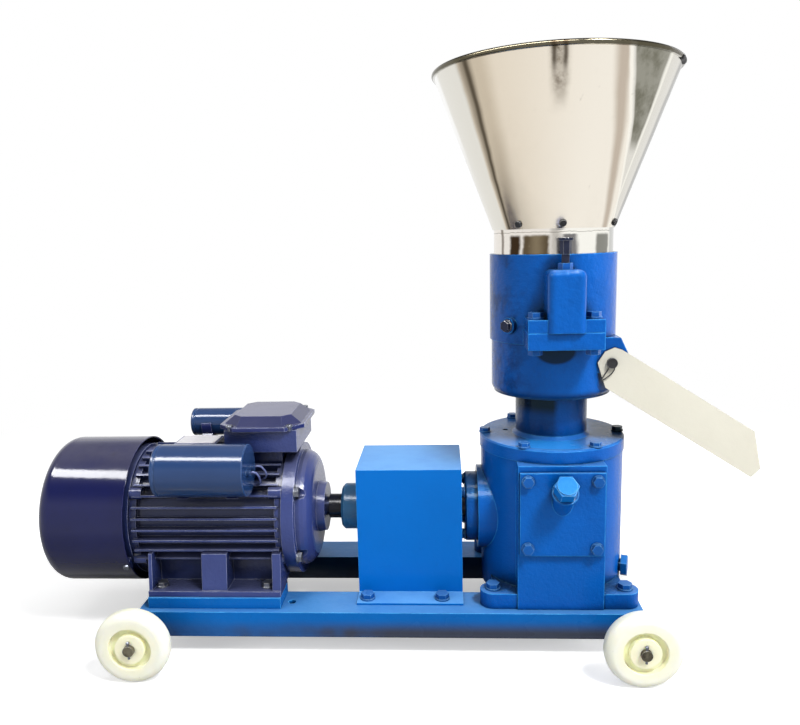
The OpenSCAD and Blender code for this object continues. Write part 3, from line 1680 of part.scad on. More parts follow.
module hopper_cone() {
  foot_r = collar_r + sheet_t / 2;
  color([0.85, 0.84, 0.80])
    difference() {
      on_main(0) union() {
        rotate_extrude() polygon([[foot_r, cone_z],
          [foot_r + sheet_t, cone_z],
          [hopper_r + sheet_t, rim_z], [hopper_r, rim_z]]);
        translate([0, 0, rim_z]) rotate_extrude()
          translate([hopper_r + sheet_t / 2, 0]) circle(r = bead_r);
      }
      hopper_screw_places() cylinder(h = 4 * m5, r = m5_hole, center = true);
    }
}

module hopper_collar() {
  slope = cone_slope;
  low_in = collar_spigot_r - sheet_t;
  color([0.82, 0.82, 0.80])
    difference() {
      on_main(0) rotate_extrude() polygon([[low_in, barrel_top - collar_spigot],
        [collar_spigot_r, barrel_top - collar_spigot], [collar_spigot_r, barrel_top],
        [collar_r, barrel_top], [collar_r, cone_z - edge_bevel],
        [collar_r + sheet_t / 2 - seat_gap, cone_z],
        [collar_r + sheet_t / 2 - seat_gap + slope * cone_lap, cone_z + cone_lap],
        [collar_r - sheet_t + slope * cone_lap, cone_z + cone_lap],
        [collar_r - sheet_t, cone_z], [collar_r - sheet_t, barrel_top + sheet_t],
        [low_in, barrel_top + sheet_t]]);
      hopper_screw_places() cylinder(h = 4 * m5, r = m5_hole, center = true);
    }
}

module hopper_screws() {
  color([0.30, 0.29, 0.28]) hopper_screw_places() translate([0, 0, seat_gap]) pan_screw(m5, m5);
}

// Discharge chute

chute_z = barrel_z - chute_drop;
// The floor's inner edge stops at the chamber's wall
chute_floor_start = (chamber_r + 2 * seat_gap - chute_pivot + chute_low * sin(chute_slope))
  / cos(chute_slope);

module chute_side() {
  rotate([90, 0, 0]) linear_extrude(height = chute_t)
    polygon([[-chute_head, -0.3 * chute_low], [-chute_head, 0.35 * chute_high],
      [-chute_head / 2, 0.88 * chute_high], [chute_head / 6, chute_high],
      [chute_l - chute_end_cut, chute_high], [chute_l, -chute_end_w],
      [chute_l - chute_t * 2, -chute_low], [chute_head * 0.75, -chute_low],
      [chute_head / 7, -0.77 * chute_low]]);
}

module discharge_chute() {
  color([0.93, 0.92, 0.86])
    translate([main_x + chute_pivot, 0, chute_z]) rotate([0, chute_slope, 0])
      difference() {
        union() {
          for (side = [-1, 1])
            translate([0, side > 0 ? chute_wall_y + chute_t : -chute_wall_y, 0]) chute_side();
          translate([chute_floor_start, -chute_wall_y - chute_t / 2, -chute_low])
            cube([chute_l - chute_t * 2 - chute_floor_start, 2 * chute_wall_y + chute_t, chute_t]);
        }
        rotate([90, 0, 0])
          cylinder(h = 4 * chute_wall_y, r = pin_r + running_gap, center = true);
      }
}

module chute_pins() {
  outer = chute_wall_y + chute_t + seat_gap;
  color([0.16, 0.16, 0.18])
    for (side = [-1, 1])
      translate([main_x + chute_pivot, side * outer, chute_z]) rotate([-90 * side, 0, 0]) {
        cylinder(h = pin_head_t, r = pin_head_r);
        translate([0, 0, cheek_half_w - cheek_t - outer])
          cylinder(h = outer - cheek_half_w + cheek_t + pin_head_t, r = pin_r);
      }
}

front_rail();
rear_rail();
cross_members();
wheel_axles();
axle_split_pins();
motor_pads();
motor_frame();
stator_core();
stator_windings();
drive_end_shield();
fan_end_shield();
fan_cover();
terminal_box();
terminal_box_lid();
cable_gland();
start_capacitor();
run_capacitor();
capacitor_saddles();
motor_nameplate();
motor_bolts();
coupling_guard();
gearbox_housing();
gearbox_top_cover();
inspection_cover();
input_bearing_housing();
oil_plugs();
gearbox_and_guard_bolts();
shaft_bearings();
shaft_seals();
lower_chamber();
upper_barrel();
casing_screws();
roller_brackets();
bracket_fasteners();
chute_pins();
main_shaft();
crown_gear();
die_plate();
pellet_sweeper();
die_nut();
motor_shaft();
rotor_core();
cooling_fan();
motor_coupling_half();
coupling_spider();
gearbox_coupling_half();
pinion_shaft();
roller_shaft();
front_roller();
rear_roller();
front_adjusting_screw();
rear_adjusting_screw();
hopper_cone();
hopper_collar();
hopper_screws();
discharge_chute();
wheel_front_left();
wheel_front_right();
wheel_rear_left();
wheel_rear_right();
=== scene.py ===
"""Feed pellet mill: finishes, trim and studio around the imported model."""
import math

import bmesh
import bpy
from mathutils import Matrix, Vector


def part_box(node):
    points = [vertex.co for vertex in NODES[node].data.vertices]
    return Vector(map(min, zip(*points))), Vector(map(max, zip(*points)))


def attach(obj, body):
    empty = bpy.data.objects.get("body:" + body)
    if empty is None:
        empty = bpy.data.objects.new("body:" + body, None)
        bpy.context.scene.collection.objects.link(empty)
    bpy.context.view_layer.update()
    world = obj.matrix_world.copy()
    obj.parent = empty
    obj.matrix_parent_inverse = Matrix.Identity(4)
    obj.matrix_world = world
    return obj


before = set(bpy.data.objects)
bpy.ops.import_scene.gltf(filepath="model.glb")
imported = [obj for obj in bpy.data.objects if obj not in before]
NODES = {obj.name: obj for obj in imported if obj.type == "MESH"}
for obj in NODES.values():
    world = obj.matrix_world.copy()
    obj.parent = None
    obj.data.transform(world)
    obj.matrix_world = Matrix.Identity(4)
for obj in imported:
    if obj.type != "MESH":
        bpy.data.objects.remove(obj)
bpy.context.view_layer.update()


# ---------------------------------------------------------------- measures
# Metres and degrees. X runs from the fan to the pelleting head, Y away from the viewer, Z up.

# Axis of the pelleting head, which every round form of the head shares
HEAD_X = 0.231217
# Level directions at the head: towards the viewer, and to the viewer's right
FACING, SIDEWAYS = (-0.146, -0.989, 0.0), (0.989, -0.146, 0.0)

# Heights in the head: feet of its castings, where the painted shadow on the neck thickens, ends of the
# hopper's painted reflection bands
NECK_FOOT, CHAMBER_FOOT, BRACKET_FOOT = 0.288, 0.352, 0.419
NECK_SHADOW_LOW, NECK_SHADOW_HIGH = 0.318, 0.336
CONE_FOOT, CONE_RIM = 0.580, 0.788
# Radii of marks round the head's axis: the painted shadow on the neck is full within the first, the painted
# highlight on the deck from the second to the third, and the bracket's painted shadow within the last
NECK_SHADOW_R, DECK_HIGHLIGHT_START_R, DECK_HIGHLIGHT_END_R, SHADOW_R = 0.054, 0.060, 0.092, 0.102
# Shadow below the bracket: its middle and half width round the head, and its drop
SHADOW_TURN, SHADOW_WIDTH, SHADOW_DROP = 4.0, 20.0, 0.019

# Height of the motor's axis, and heights at which the painted shade on the fan cover's foot and the rails'
# scuffs begin and are full
DRIVE_Z = 0.174
COVER_SHADE_TOP, COVER_FOOT = 0.150, 0.070
RAIL_SCUFF_TOP, RAIL_SCUFF_FULL = 0.056, 0.034
# Radius within which the coupling is bare, and the place and reach of the one black bolt
SLEEVE_R = 0.019
BLACK_BOLT, BLACK_BOLT_R = (HEAD_X + 0.088, 0.0, 0.297), 0.018

# Axles, and the yellow ring round each wheel's hub
WHEEL_REAR_X, WHEEL_FRONT_X, WHEEL_Z = HEAD_X - 0.571, HEAD_X + 0.093, 0.050
RING_R, RING_HALF = 0.0235, 0.0035


# ---------------------------------------------------------------- node helpers

def tint(code):
    """Linear colour with alpha from a painter's six-digit sRGB code"""
    parts = [int(code[i:i + 2], 16) / 255 for i in (0, 2, 4)]
    return tuple(p / 12.92 if p <= 0.04045 else ((p + 0.055) / 1.055) ** 2.4 for p in parts) + (1,)


def fill(tree, node, inputs):
    """Links a node's inputs to sockets, or sets them to values"""
    for key, value in inputs.items():
        if isinstance(value, bpy.types.NodeSocket):
            tree.links.new(value, node.inputs[key])
        else:
            node.inputs[key].default_value = value


def put(tree, kind, inputs=None, **settings):
    """Adds a node, sets its options, and fills its inputs"""
    node = tree.nodes.new(kind)
    for key, value in settings.items():
        setattr(node, key, value)
    fill(tree, node, inputs or {})
    return node


def shared(tree, name, inputs):
    """Adds one of the shared shader groups"""
    return put(tree, "ShaderNodeGroup", inputs, node_tree=bpy.data.node_groups[name])


def maths(tree, operation, a, b=0.0, clamp=False):
    """Output socket of one Math node"""
    return put(tree, "ShaderNodeMath", {0: a, 1: b}, operation=operation, use_clamp=clamp).outputs[0]


def plus(tree, a, b):
    """Sum of two values"""
    return maths(tree, "ADD", a, b)


def minus(tree, a, b):
    """Difference of two values"""
    return maths(tree, "SUBTRACT", a, b)


def times(tree, a, b):
    """Product of two values"""
    return maths(tree, "MULTIPLY", a, b)


def both(tree, a, b):
    """Mask where two masks meet"""
    return maths(tree, "MULTIPLY", a, b, clamp=True)


def vector_maths(tree, operation, a, b=(0.0, 0.0, 0.0)):
    """Output socket of one Vector Math node, a value where the operation measures something"""
    node = put(tree, "ShaderNodeVectorMath", {0: a, 1: b}, operation=operation)
    return node.outputs["Value" if operation in ("LENGTH", "DISTANCE", "DOT_PRODUCT") else "Vector"]


def axis(tree, vector, letter):
    """One coordinate of a vector"""
    return put(tree, "ShaderNodeSeparateXYZ", {0: vector}).outputs[letter]


def place(tree, origin=None):
    """Object coordinates, counted from the origin if there is one"""
    at = put(tree, "ShaderNodeTexCoord").outputs["Object"]
    return vector_maths(tree, "SUBTRACT", at, origin) if origin else at


def outward(tree):
    """The direction that the surface faces"""
    return put(tree, "ShaderNodeNewGeometry").outputs["Normal"]


def between(tree, value, low, high, out_low=0.0, out_high=1.0):
    """A clamped, smoothed range"""
    return put(tree, "ShaderNodeMapRange", {
        "Value": value, "From Min": low, "From Max": high, "To Min": out_low, "To Max": out_high,
    }, interpolation_type="SMOOTHSTEP").outputs["Result"]


def stripe(tree, value, centre, half, soft):
    """Mask of a soft-edged stripe"""
    off = maths(tree, "ABSOLUTE", minus(tree, value, centre))
    return between(tree, off, half + soft, half - soft)


def noise(tree, vector, scale, detail=3.0, roughness=0.5):
    """Value of a noise texture"""
    return put(tree, "ShaderNodeTexNoise", {
        "Vector": vector, "Scale": scale, "Detail": detail, "Roughness": roughness,
    }).outputs["Fac"]


def blend_colour(tree, share, a, b):
    """A mix of two colours"""
    return put(tree, "ShaderNodeMix", {0: share, 6: a, 7: b}, data_type="RGBA").outputs[2]


def layer(tree, colour, mask, code, strength=1.0):
    """One more colour over what is under it"""
    share = maths(tree, "MULTIPLY", mask, strength, clamp=True)
    return blend_colour(tree, share, colour, tint(code))


def bump(tree, strength, distance, height, **smooth):
    """A normal with the relief of a height"""
    return put(tree, "ShaderNodeBump", {
        "Strength": strength, "Distance": distance, "Height": height, **smooth}).outputs[0]


# ---------------------------------------------------------------- shared groups

FLOAT, COLOUR, VECTOR = "NodeSocketFloat", "NodeSocketColor", "NodeSocketVector"
SURFACE = [("Colour", COLOUR), ("Roughness", FLOAT), ("Normal", VECTOR)]
BEVEL_RAYS, SHADE_RAYS = 6, 8
NOOK_REACH = 0.07


def open_group(name, inputs, outputs):
    """A shader group with its sockets; returns the tree, the input node and the output node"""
    tree = bpy.data.node_groups.new(name, "ShaderNodeTree")
    for label, kind, value in inputs:
        tree.interface.new_socket(name=label, in_out="INPUT", socket_type=kind).default_value = value
    for label, kind in outputs:
        tree.interface.new_socket(name=label, in_out="OUTPUT", socket_type=kind)
    return tree, tree.nodes.new("NodeGroupInput"), tree.nodes.new("NodeGroupOutput")


def make_worn_edges():
    """Softened corners, with a mask of the corners themselves"""
    tree, into, out = open_group(
        "worn_edges", [("Radius", FLOAT, 0.001)], [("Normal", VECTOR), ("Edge", FLOAT)])
    soft = put(tree, "ShaderNodeBevel", {"Radius": into.outputs["Radius"]}, samples=BEVEL_RAYS).outputs[0]
    same = vector_maths(tree, "DOT_PRODUCT", soft, outward(tree))
    fill(tree, out, {"Normal": soft, "Edge": between(tree, same, 0.995, 0.90)})


def make_dust_and_top_sheen():
    """A patchy mask of dust and of a painted sheen from above, on what faces up"""
    tree, into, out = open_group("dust_and_top_sheen", [("Amount", FLOAT, 0.3)], [("Mask", FLOAT)])
    level = between(tree, axis(tree, outward(tree), "Z"), 0.55, 0.98)
    patch = between(tree, noise(tree, place(tree), 14.0, 5.0, 0.65), 0.25, 0.75, 0.6, 1.0)
    fill(tree, out, {"Mask": times(tree, times(tree, level, patch), into.outputs["Amount"])})


def make_enamel():
    """Sprayed enamel over a casting or a sheet: colour, gloss and skin"""
    tree, into, out = open_group(
        "enamel",
        [("Colour", COLOUR, (0, 0, 0, 1)), ("Wear And Highlight Colour", COLOUR, (1, 1, 1, 1)),
         ("Deep Colour", COLOUR, (0, 0, 0, 1)), ("Skin Scale", FLOAT, 160.0), ("Skin Depth", FLOAT, 0.1),
         ("Corner", FLOAT, 0.001), ("Dust And Sheen", FLOAT, 0.2), ("Gloss", FLOAT, 0.3), ("Nook Shade", FLOAT, 0.5),
         ("Dust And Sheen Colour", COLOUR, (0.5, 0.5, 0.5, 1))],
        SURFACE)
    at = place(tree)
    edges = shared(tree, "worn_edges", {"Radius": into.outputs["Corner"]})
    dust_and_sheen = shared(tree, "dust_and_top_sheen", {"Amount": into.outputs["Dust And Sheen"]}).outputs["Mask"]
    patchy = between(tree, noise(tree, at, 6.0, 4.0, 0.6), 0.32, 0.70)
    fine = noise(tree, at, into.outputs["Skin Scale"], 4.0, 0.6)
    # Layers one over the other: cloudy coats, speckles, worn corners with a painted highlight,
    # dust with a painted sheen on top, and painted shade in the nooks
    deep = into.outputs["Deep Colour"]
    coat = blend_colour(tree, times(tree, patchy, 0.35), into.outputs["Colour"], deep)
    coat = blend_colour(tree, times(tree, between(tree, fine, 0.62, 0.80), 0.30), coat, deep)
    rubbed_and_lit = between(tree, noise(tree, at, 45.0, 3.0, 0.6), 0.30, 0.62, 0.25, 0.85)
    coat = blend_colour(tree, times(tree, edges.outputs["Edge"], rubbed_and_lit), coat, into.outputs["Wear And Highlight Colour"])
    coat = blend_colour(tree, dust_and_sheen, coat, into.outputs["Dust And Sheen Colour"])
    nook = put(tree, "ShaderNodeAmbientOcclusion", {"Distance": NOOK_REACH}, samples=SHADE_RAYS)
    nook_shade_mask = times(tree, between(tree, nook.outputs["AO"], 0.82, 0.34), into.outputs["Nook Shade"])
    coat = blend_colour(tree, nook_shade_mask, coat, tint("03060f"))
    rough = plus(tree, into.outputs["Gloss"], times(tree, patchy, 0.06))
    rough = maths(tree, "ADD", rough, times(tree, dust_and_sheen, 0.3), clamp=True)
    skin = plus(tree, fine, times(tree, noise(tree, at, 28.0, 2.0, 0.5), 1.5))
    relief = bump(tree, into.outputs["Skin Depth"], 0.0018, skin, Normal=edges.outputs["Normal"])
    fill(tree, out, {"Colour": coat, "Roughness": rough, "Normal": relief})


def make_turned_metal():
    """Machined or plated metal: fine scratches, stains and softened corners"""
    tree, into, out = open_group(
        "turned_metal",
        [("Colour", COLOUR, (0.5, 0.5, 0.5, 1)), ("Stain", COLOUR, (0.2, 0.2, 0.2, 1)),
         ("Stain Share", FLOAT, 0.4), ("Corner", FLOAT, 0.0004), ("Gloss", FLOAT, 0.3),
         ("Scratch Depth", FLOAT, 0.1)],
        SURFACE)
    at = place(tree)
    edges = shared(tree, "worn_edges", {"Radius": into.outputs["Corner"]})
    patchy = between(tree, noise(tree, at, 38.0, 5.0, 0.65), 0.38, 0.68)
    drawn = put(tree, "ShaderNodeMapping", {"Vector": at, "Scale": (1.0, 1.0, 9.0)}).outputs[0]
    scratch = noise(tree, drawn, 260.0, 3.0, 0.6)
    stained = times(tree, patchy, into.outputs["Stain Share"])
    colour = blend_colour(tree, stained, into.outputs["Colour"], into.outputs["Stain"])
    colour = blend_colour(tree, times(tree, edges.outputs["Edge"], 0.5), colour, tint("d8d8d6"))
    rough = plus(tree, into.outputs["Gloss"], times(tree, patchy, 0.22))
    rough = maths(tree, "ADD", rough, times(tree, scratch, 0.12), clamp=True)
    relief = bump(tree, into.outputs["Scratch Depth"], 0.0005, scratch, Normal=edges.outputs["Normal"])
    fill(tree, out, {"Colour": colour, "Roughness": rough, "Normal": relief})


make_worn_edges()
make_dust_and_top_sheen()
make_enamel()
make_turned_metal()


# ---------------------------------------------------------------- enamels and metals

# Colours of dust and painted sheen on what faces up, and tints of the highlights: sky blue on the blue
# parts, plain elsewhere
SKY_SHEEN, GLINT = "8ccdf6", "8fdcff"
PLAIN_DUST_AND_SHEEN, PLAIN_GLINT = "b9b4ac", "ffffff"
SKY_LIT = ("cast_blue", "head_blue", "sheet_blue", "rail_blue", "bolt_blue", "plug_blue")

# Colour, the same at worn corners with a painted highlight, the same where it is deep; scale of the skin,
# depth of the skin, corner radius, dust and painted sheen on top, gloss, painted shade in nooks; shine
ENAMELS = {
    "cast_blue": ("0559b2", "38a0ea", "063f8a", 210.0, 0.45, 0.0022, 0.22, 0.18, 0.90, 0.20),
    "head_blue": ("0656ae", "3296e4", "053a82", 120.0, 0.60, 0.0025, 0.14, 0.18, 0.95, 0.20),
    "sheet_blue": ("0569c2", "4fb0ee", "065aa8", 90.0, 0.14, 0.0012, 0.42, 0.20, 0.15, 0.14),
    "rail_blue": ("0a63b4", "4fb2ee", "084a8c", 120.0, 0.25, 0.0018, 0.26, 0.22, 0.35, 0.16),
    "bolt_blue": ("1558aa", "79b4e0", "08264e", 260.0, 0.30, 0.0009, 0.16, 0.22, 0.50, 0.22),
    "plug_blue": ("0a74cc", "8fdcff", "0a4a90", 260.0, 0.30, 0.0010, 0.16, 0.20, 0.70, 0.24),
    "motor_navy": ("35437c", "a4abc8", "171e4c", 240.0, 0.28, 0.0013, 0.14, 0.18, 0.70, 0.30),
    "cover_navy": ("11174a", "34376e", "080a26", 60.0, 0.06, 0.0012, 0.12, 0.08, 0.30, 0.26),
    "lid_navy": ("262f66", "9aa3c4", "141a44", 80.0, 0.10, 0.0015, 0.16, 0.14, 0.30, 0.30),
    "can_navy": ("203c69", "6482b0", "12284e", 70.0, 0.08, 0.0010, 0.03, 0.14, 0.30, 0.30),
    "lead_sleeve": ("6c76a8", "c4cae6", "343a68", 90.0, 0.10, 0.0004, 0.10, 0.22, 0.30, 0.40),
    "chute_paint": ("d4d1c3", "b3ad9a", "c4bfae", 70.0, 0.16, 0.0006, 0.05, 0.42, 0.20, 0.14),
    "coupling_grey": ("3672a0", "7fb0d4", "1c4468", 200.0, 0.30, 0.0010, 0.02, 0.24, 0.40, 0.20),
    "rubber_black": ("1b1b1c", "2c2c2e", "121213", 320.0, 0.30, 0.0008, 0.15, 0.62, 0.50, 0.14),
    "plastic_black": ("18181b", "333338", "101012", 300.0, 0.20, 0.0008, 0.10, 0.40, 0.50, 0.14),
}
COAT_ROUGHNESS = 0.06

# Colour, stain, share of the stain, corner radius, gloss, depth of the scratches; how metallic it is
METALS = {
    "bolt_zinc": ("7e828c", "3a3c46", 0.50, 0.0005, 0.26, 0.15, 1.00),
    "machined_steel": ("a2a2a2", "5c5a56", 0.40, 0.0005, 0.24, 0.20, 1.00),
    "dark_steel": ("3a3a3c", "211f1e", 0.50, 0.0006, 0.38, 0.20, 0.70),
    "gear_iron": ("6d6d70", "38332c", 0.50, 0.0006, 0.34, 0.25, 1.00),
    "lamination": ("6a6c70", "3b3a38", 0.50, 0.0003, 0.42, 0.40, 1.00),
    "copper_wire": ("b06a3a", "6b3a20", 0.40, 0.0004, 0.28, 0.30, 1.00),
    "plate_silver": ("d9d7da", "b4b2b6", 0.35, 0.0003, 0.34, 0.20, 0.35),
    "shaft_steel": ("2a2f44", "0b0c12", 0.60, 0.0006, 0.22, 0.15, 0.80),
    "axle_steel": ("77715f", "1f1b14", 0.90, 0.0006, 0.42, 0.50, 0.70),
}


def blank(name):
    """A material with a Principled shader and nothing else"""
    made = bpy.data.materials.new(name)
    made.use_nodes = True
    tree = made.node_tree
    tree.nodes.clear()
    shader = put(tree, "ShaderNodeBsdfPrincipled")
    put(tree, "ShaderNodeOutputMaterial", {"Surface": shader.outputs[0]})
    return made, tree, shader


def feed(tree, shader, source):
    """Links a group's colour, roughness and normal to the shader"""
    fill(tree, shader, {"Base Color": source.outputs["Colour"], "Roughness": source.outputs["Roughness"],
                        "Normal": source.outputs["Normal"]})


def enamel(name, colour, wear_and_highlight, deep, skin_scale, skin_depth, corner, dust_and_sheen, gloss, nook_shade, shine):
    """An enamelled surface"""
    made, tree, shader = blank(name)
    dust_and_sheen_code, glint_code = (SKY_SHEEN, GLINT) if name in SKY_LIT else (PLAIN_DUST_AND_SHEEN, PLAIN_GLINT)
    feed(tree, shader, shared(tree, "enamel", {
        "Colour": tint(colour), "Wear And Highlight Colour": tint(wear_and_highlight), "Deep Colour": tint(deep),
        "Skin Scale": skin_scale, "Skin Depth": skin_depth, "Corner": corner, "Dust And Sheen": dust_and_sheen,
        "Gloss": gloss, "Nook Shade": nook_shade, "Dust And Sheen Colour": tint(dust_and_sheen_code)}))
    fill(tree, shader, {"Specular IOR Level": shine, "Specular Tint": tint(glint_code),
                        "Coat Weight": shine / 2, "Coat Roughness": COAT_ROUGHNESS})
    return made, tree, shader


def metal(name, colour, stain, share, corner, gloss, scratch, metallic):
    """A bare or plated metal surface"""
    made, tree, shader = blank(name)
    feed(tree, shader, shared(tree, "turned_metal", {
        "Colour": tint(colour), "Stain": tint(stain), "Stain Share": share, "Corner": corner,
        "Gloss": gloss, "Scratch Depth": scratch}))
    fill(tree, shader, {"Metallic": metallic})
    return made


# ---------------------------------------------------------------- marks on the enamels, painted shade and highlights among them

def overlay(tree, shader, mask, code, strength=1.0):
    """Lays one more colour over what the shader already wears"""
    under = shader.inputs["Base Color"].links[0].from_socket
    fill(tree, shader, {"Base Color": layer(tree, under, mask, code, strength)})


def sheet_angle(tree, at):
    """Degrees round the head from the side that faces the viewer, the same at the back"""
    side = vector_maths(tree, "DOT_PRODUCT", at, SIDEWAYS)
    ahead = vector_maths(tree, "DOT_PRODUCT", at, FACING)
    turn = maths(tree, "ARCTAN2", side, maths(tree, "ABSOLUTE", ahead))
    return times(tree, turn, 180 / math.pi)


def about_head(tree):
    """Coordinates from the head's axis, with the height, the radius and the angle round it"""
    at = place(tree, (HEAD_X, 0.0, 0.0))
    radius = vector_maths(tree, "LENGTH", vector_maths(tree, "MULTIPLY", at, (1, 1, 0)))
    return at, axis(tree, at, "Z"), radius, sheet_angle(tree, at)


def shaded_neck_and_lit_deck(tree, shader):
    """Painted shadow on the neck under the chamber, and a painted highlight on the deck round it"""
    at, height, radius, angle = about_head(tree)
    ragged = plus(tree, angle, times(tree, minus(tree, noise(tree, at, 40.0, 4.0, 0.6), 0.5), 14.0))
    left = between(tree, ragged, 14.0, 2.0, 0.15, 1.0)
    high = between(tree, height, NECK_SHADOW_LOW, NECK_SHADOW_HIGH, 0.55, 0.97)
    above = between(tree, height, NECK_FOOT + 0.003, NECK_FOOT + 0.008)
    neck_shadow = both(tree, between(tree, radius, DECK_HIGHLIGHT_START_R, NECK_SHADOW_R), above)
    overlay(tree, shader, both(tree, neck_shadow, both(tree, left, high)), "03060e")
    past_neck = between(tree, radius, NECK_SHADOW_R, DECK_HIGHLIGHT_START_R)
    deck_highlight = both(tree, past_neck, between(tree, radius, DECK_HIGHLIGHT_END_R + 0.006, DECK_HIGHLIGHT_END_R))
    deck_highlight = both(tree, deck_highlight, between(tree, height, NECK_FOOT - 0.002, NECK_FOOT - 0.0005))
    overlay(tree, shader, both(tree, deck_highlight, stripe(tree, ragged, 0.0, 30.0, 12.0)), "1590ea", 0.55)


def blotched_and_shaded_head(tree, shader):
    """Dark blotches, painted shade along the chamber's foot, and the painted shadow below the bracket"""
    at, height, radius, angle = about_head(tree)
    blotch = between(tree, noise(tree, at, 24.0, 5.0, 0.68), 0.47, 0.66)
    overlay(tree, shader, both(tree, blotch, between(tree, angle, -8.0, -40.0, 0.15, 0.6)), "0a2450")
    foot_shade = between(tree, height, CHAMBER_FOOT + 0.014, CHAMBER_FOOT, 0.0, 0.75)
    overlay(tree, shader, foot_shade, "040c20")
    across = maths(tree, "DIVIDE", minus(tree, angle, SHADOW_TURN), SHADOW_WIDTH)
    down = maths(tree, "DIVIDE", minus(tree, height, BRACKET_FOOT), SHADOW_DROP)
    away = put(tree, "ShaderNodeCombineXYZ", {"X": across, "Y": down}).outputs[0]
    near = between(tree, vector_maths(tree, "LENGTH", away), 1.0, 0.78)
    on_wall = between(tree, radius, SHADOW_R + 0.002, SHADOW_R)
    overlay(tree, shader, both(tree, near, on_wall), "040a1a", 0.9)


def bare_sleeve(tree, shader):
    """The bare oiled sleeve on the motor's shaft"""
    at = place(tree, (0.0, 0.0, DRIVE_Z))
    radius = vector_maths(tree, "LENGTH", vector_maths(tree, "MULTIPLY", at, (0, 1, 1)))
    overlay(tree, shader, between(tree, radius, SLEEVE_R + 0.001, SLEEVE_R), "0a0d1c")


def shaded_cover_foot(tree, shader):
    """Painted shade, brownish black, along the fan cover's foot"""
    height = axis(tree, place(tree), "Z")
    overlay(tree, shader, between(tree, height, COVER_SHADE_TOP, COVER_FOOT, 0.0, 0.8), "0b0907")


def shaded_lid_slopes(tree, shader):
    """A darker tone on the sloping borders of the lid, as painted shade"""
    level = axis(tree, outward(tree), "Z")
    slope_shade = both(tree, between(tree, level, 0.25, 0.40), between(tree, level, 0.95, 0.85))
    overlay(tree, shader, slope_shade, "0a0f30", 0.4)


def shaded_and_scuffed_rails(tree, shader):
    """Painted shade, nearly black, inside the channels; scuffed and greyed low on the outside"""
    at = place(tree)
    outer = times(tree, axis(tree, outward(tree), "Y"), maths(tree, "SIGN", axis(tree, at, "Y")))
    overlay(tree, shader, between(tree, outer, -0.4, -0.8), "04060c", 0.9)
    cloud = between(tree, noise(tree, at, 5.0, 4.0, 0.6), 0.36, 0.56, 0.40, 1.0)
    low = between(tree, axis(tree, at, "Z"), RAIL_SCUFF_TOP, RAIL_SCUFF_FULL)
    overlay(tree, shader, both(tree, low, cloud), "3a3d4a")


def black_bolt(tree, shader):
    """One bare black bolt in place of a painted one"""
    off = vector_maths(tree, "DISTANCE", place(tree), BLACK_BOLT)
    overlay(tree, shader, between(tree, off, BLACK_BOLT_R + 0.002, BLACK_BOLT_R), "050507")


MARKS = {
    "cast_blue": shaded_neck_and_lit_deck, "head_blue": blotched_and_shaded_head, "coupling_grey": bare_sleeve,
    "cover_navy": shaded_cover_foot, "lid_navy": shaded_lid_slopes, "rail_blue": shaded_and_scuffed_rails,
    "bolt_blue": black_bolt,
}


# ---------------------------------------------------------------- stainless hopper

def cone_reflections(tree, angle, level, mottle):
    """Painted reflections: the bands of light and dark that run down the polished cone, by their angles
    round it
    """
    colour = blend_colour(tree, between(tree, angle, -36, 26), tint("e2d6c3"), tint("f3ecdf"))
    # Left of the middle, painted reflections: a soft band, the pale side, a bright patch near the rim, a
    # dark band and its core
    colour = layer(tree, colour, stripe(tree, angle, -37, 7, 5), "c3b59f", 0.8)
    colour = layer(tree, colour, between(tree, angle, -46, -49), "e1ded5")
    bright = both(tree, between(tree, angle, -68, -74), between(tree, level, 0.3, 0.7))
    colour = layer(tree, colour, bright, "faf9f6")
    dark_half = plus(tree, 2.2, times(tree, level, 1.6))
    edge = maths(tree, "DIVIDE", plus(tree, angle, 43.5), dark_half)
    dark = both(tree, between(tree, edge, -1.9, 0.1), between(tree, edge, 1.7, 0.7))
    colour = layer(tree, colour, dark, "857a69", 0.9)
    colour = layer(tree, colour, stripe(tree, edge, 0.45, 0.35, 0.3), "4f4638", 0.9)
    # Right of the middle, painted reflections: a curved line that leans inwards to the rim, with brown
    # before it and grey past it
    line = plus(tree, times(tree, level, -43), 66)
    line = plus(tree, line, times(tree, times(tree, level, level), 9))
    brown = plus(tree, minus(tree, line, 13), times(tree, level, 10))
    colour = layer(tree, colour, stripe(tree, angle, brown, 3.5, 2.6), "b9aa99", 0.85)
    past = minus(tree, angle, line)
    colour = layer(tree, colour, between(tree, past, -1.0, 1.0), "dfdcd3")
    wedge = both(tree, between(tree, past, 1.6, 3.2), between(tree, angle, 58.0, 56.0))
    dull_reflection = blend_colour(tree, mottle, tint("98968a"), tint("716f60"))
    colour = blend_colour(tree, both(tree, wedge, between(tree, level, 0.42, 0.54)), colour, dull_reflection)
    colour = layer(tree, colour, stripe(tree, angle, line, 1.1, 0.9), "fbf7ec", 0.95)
    colour = layer(tree, colour, stripe(tree, angle, 59, 0.9, 0.8), "f6f3e8")
    colour = layer(tree, colour, between(tree, angle, 69, 75), "8e8c86")
    # Painted reflections: the dark line below the rim bead, then the smudge and the two bars that the sheet
    # mirrors
    colour = layer(tree, colour, between(tree, level, 0.982, 0.988), "55503f", 0.95)
    mirrored_smudge = both(tree, stripe(tree, angle, 2.0, 3.2, 2.6), between(tree, level, 0.62, 0.96))
    colour = layer(tree, colour, both(tree, mirrored_smudge, plus(tree, mottle, 0.5)), "6a5d4c", 0.95)
    bars = plus(tree, stripe(tree, angle, -0.6, 0.9, 0.8), stripe(tree, angle, 4.2, 0.9, 0.8))
    return layer(tree, colour, both(tree, bars, between(tree, level, 0.82, 0.93)), "453a2c", 0.85)


# Middle angle, half width and colour of the dark reflections low on the collar
COLLAR_DARKS = [(-36, 6.2, "3a2c1e"), (-14, 12.5, "5c4f3c"), (53, 9.5, "8a8982")]
COLLAR_LIP, COLLAR_SEAM = 0.5745, 0.5765
MM_PER_M = 1000


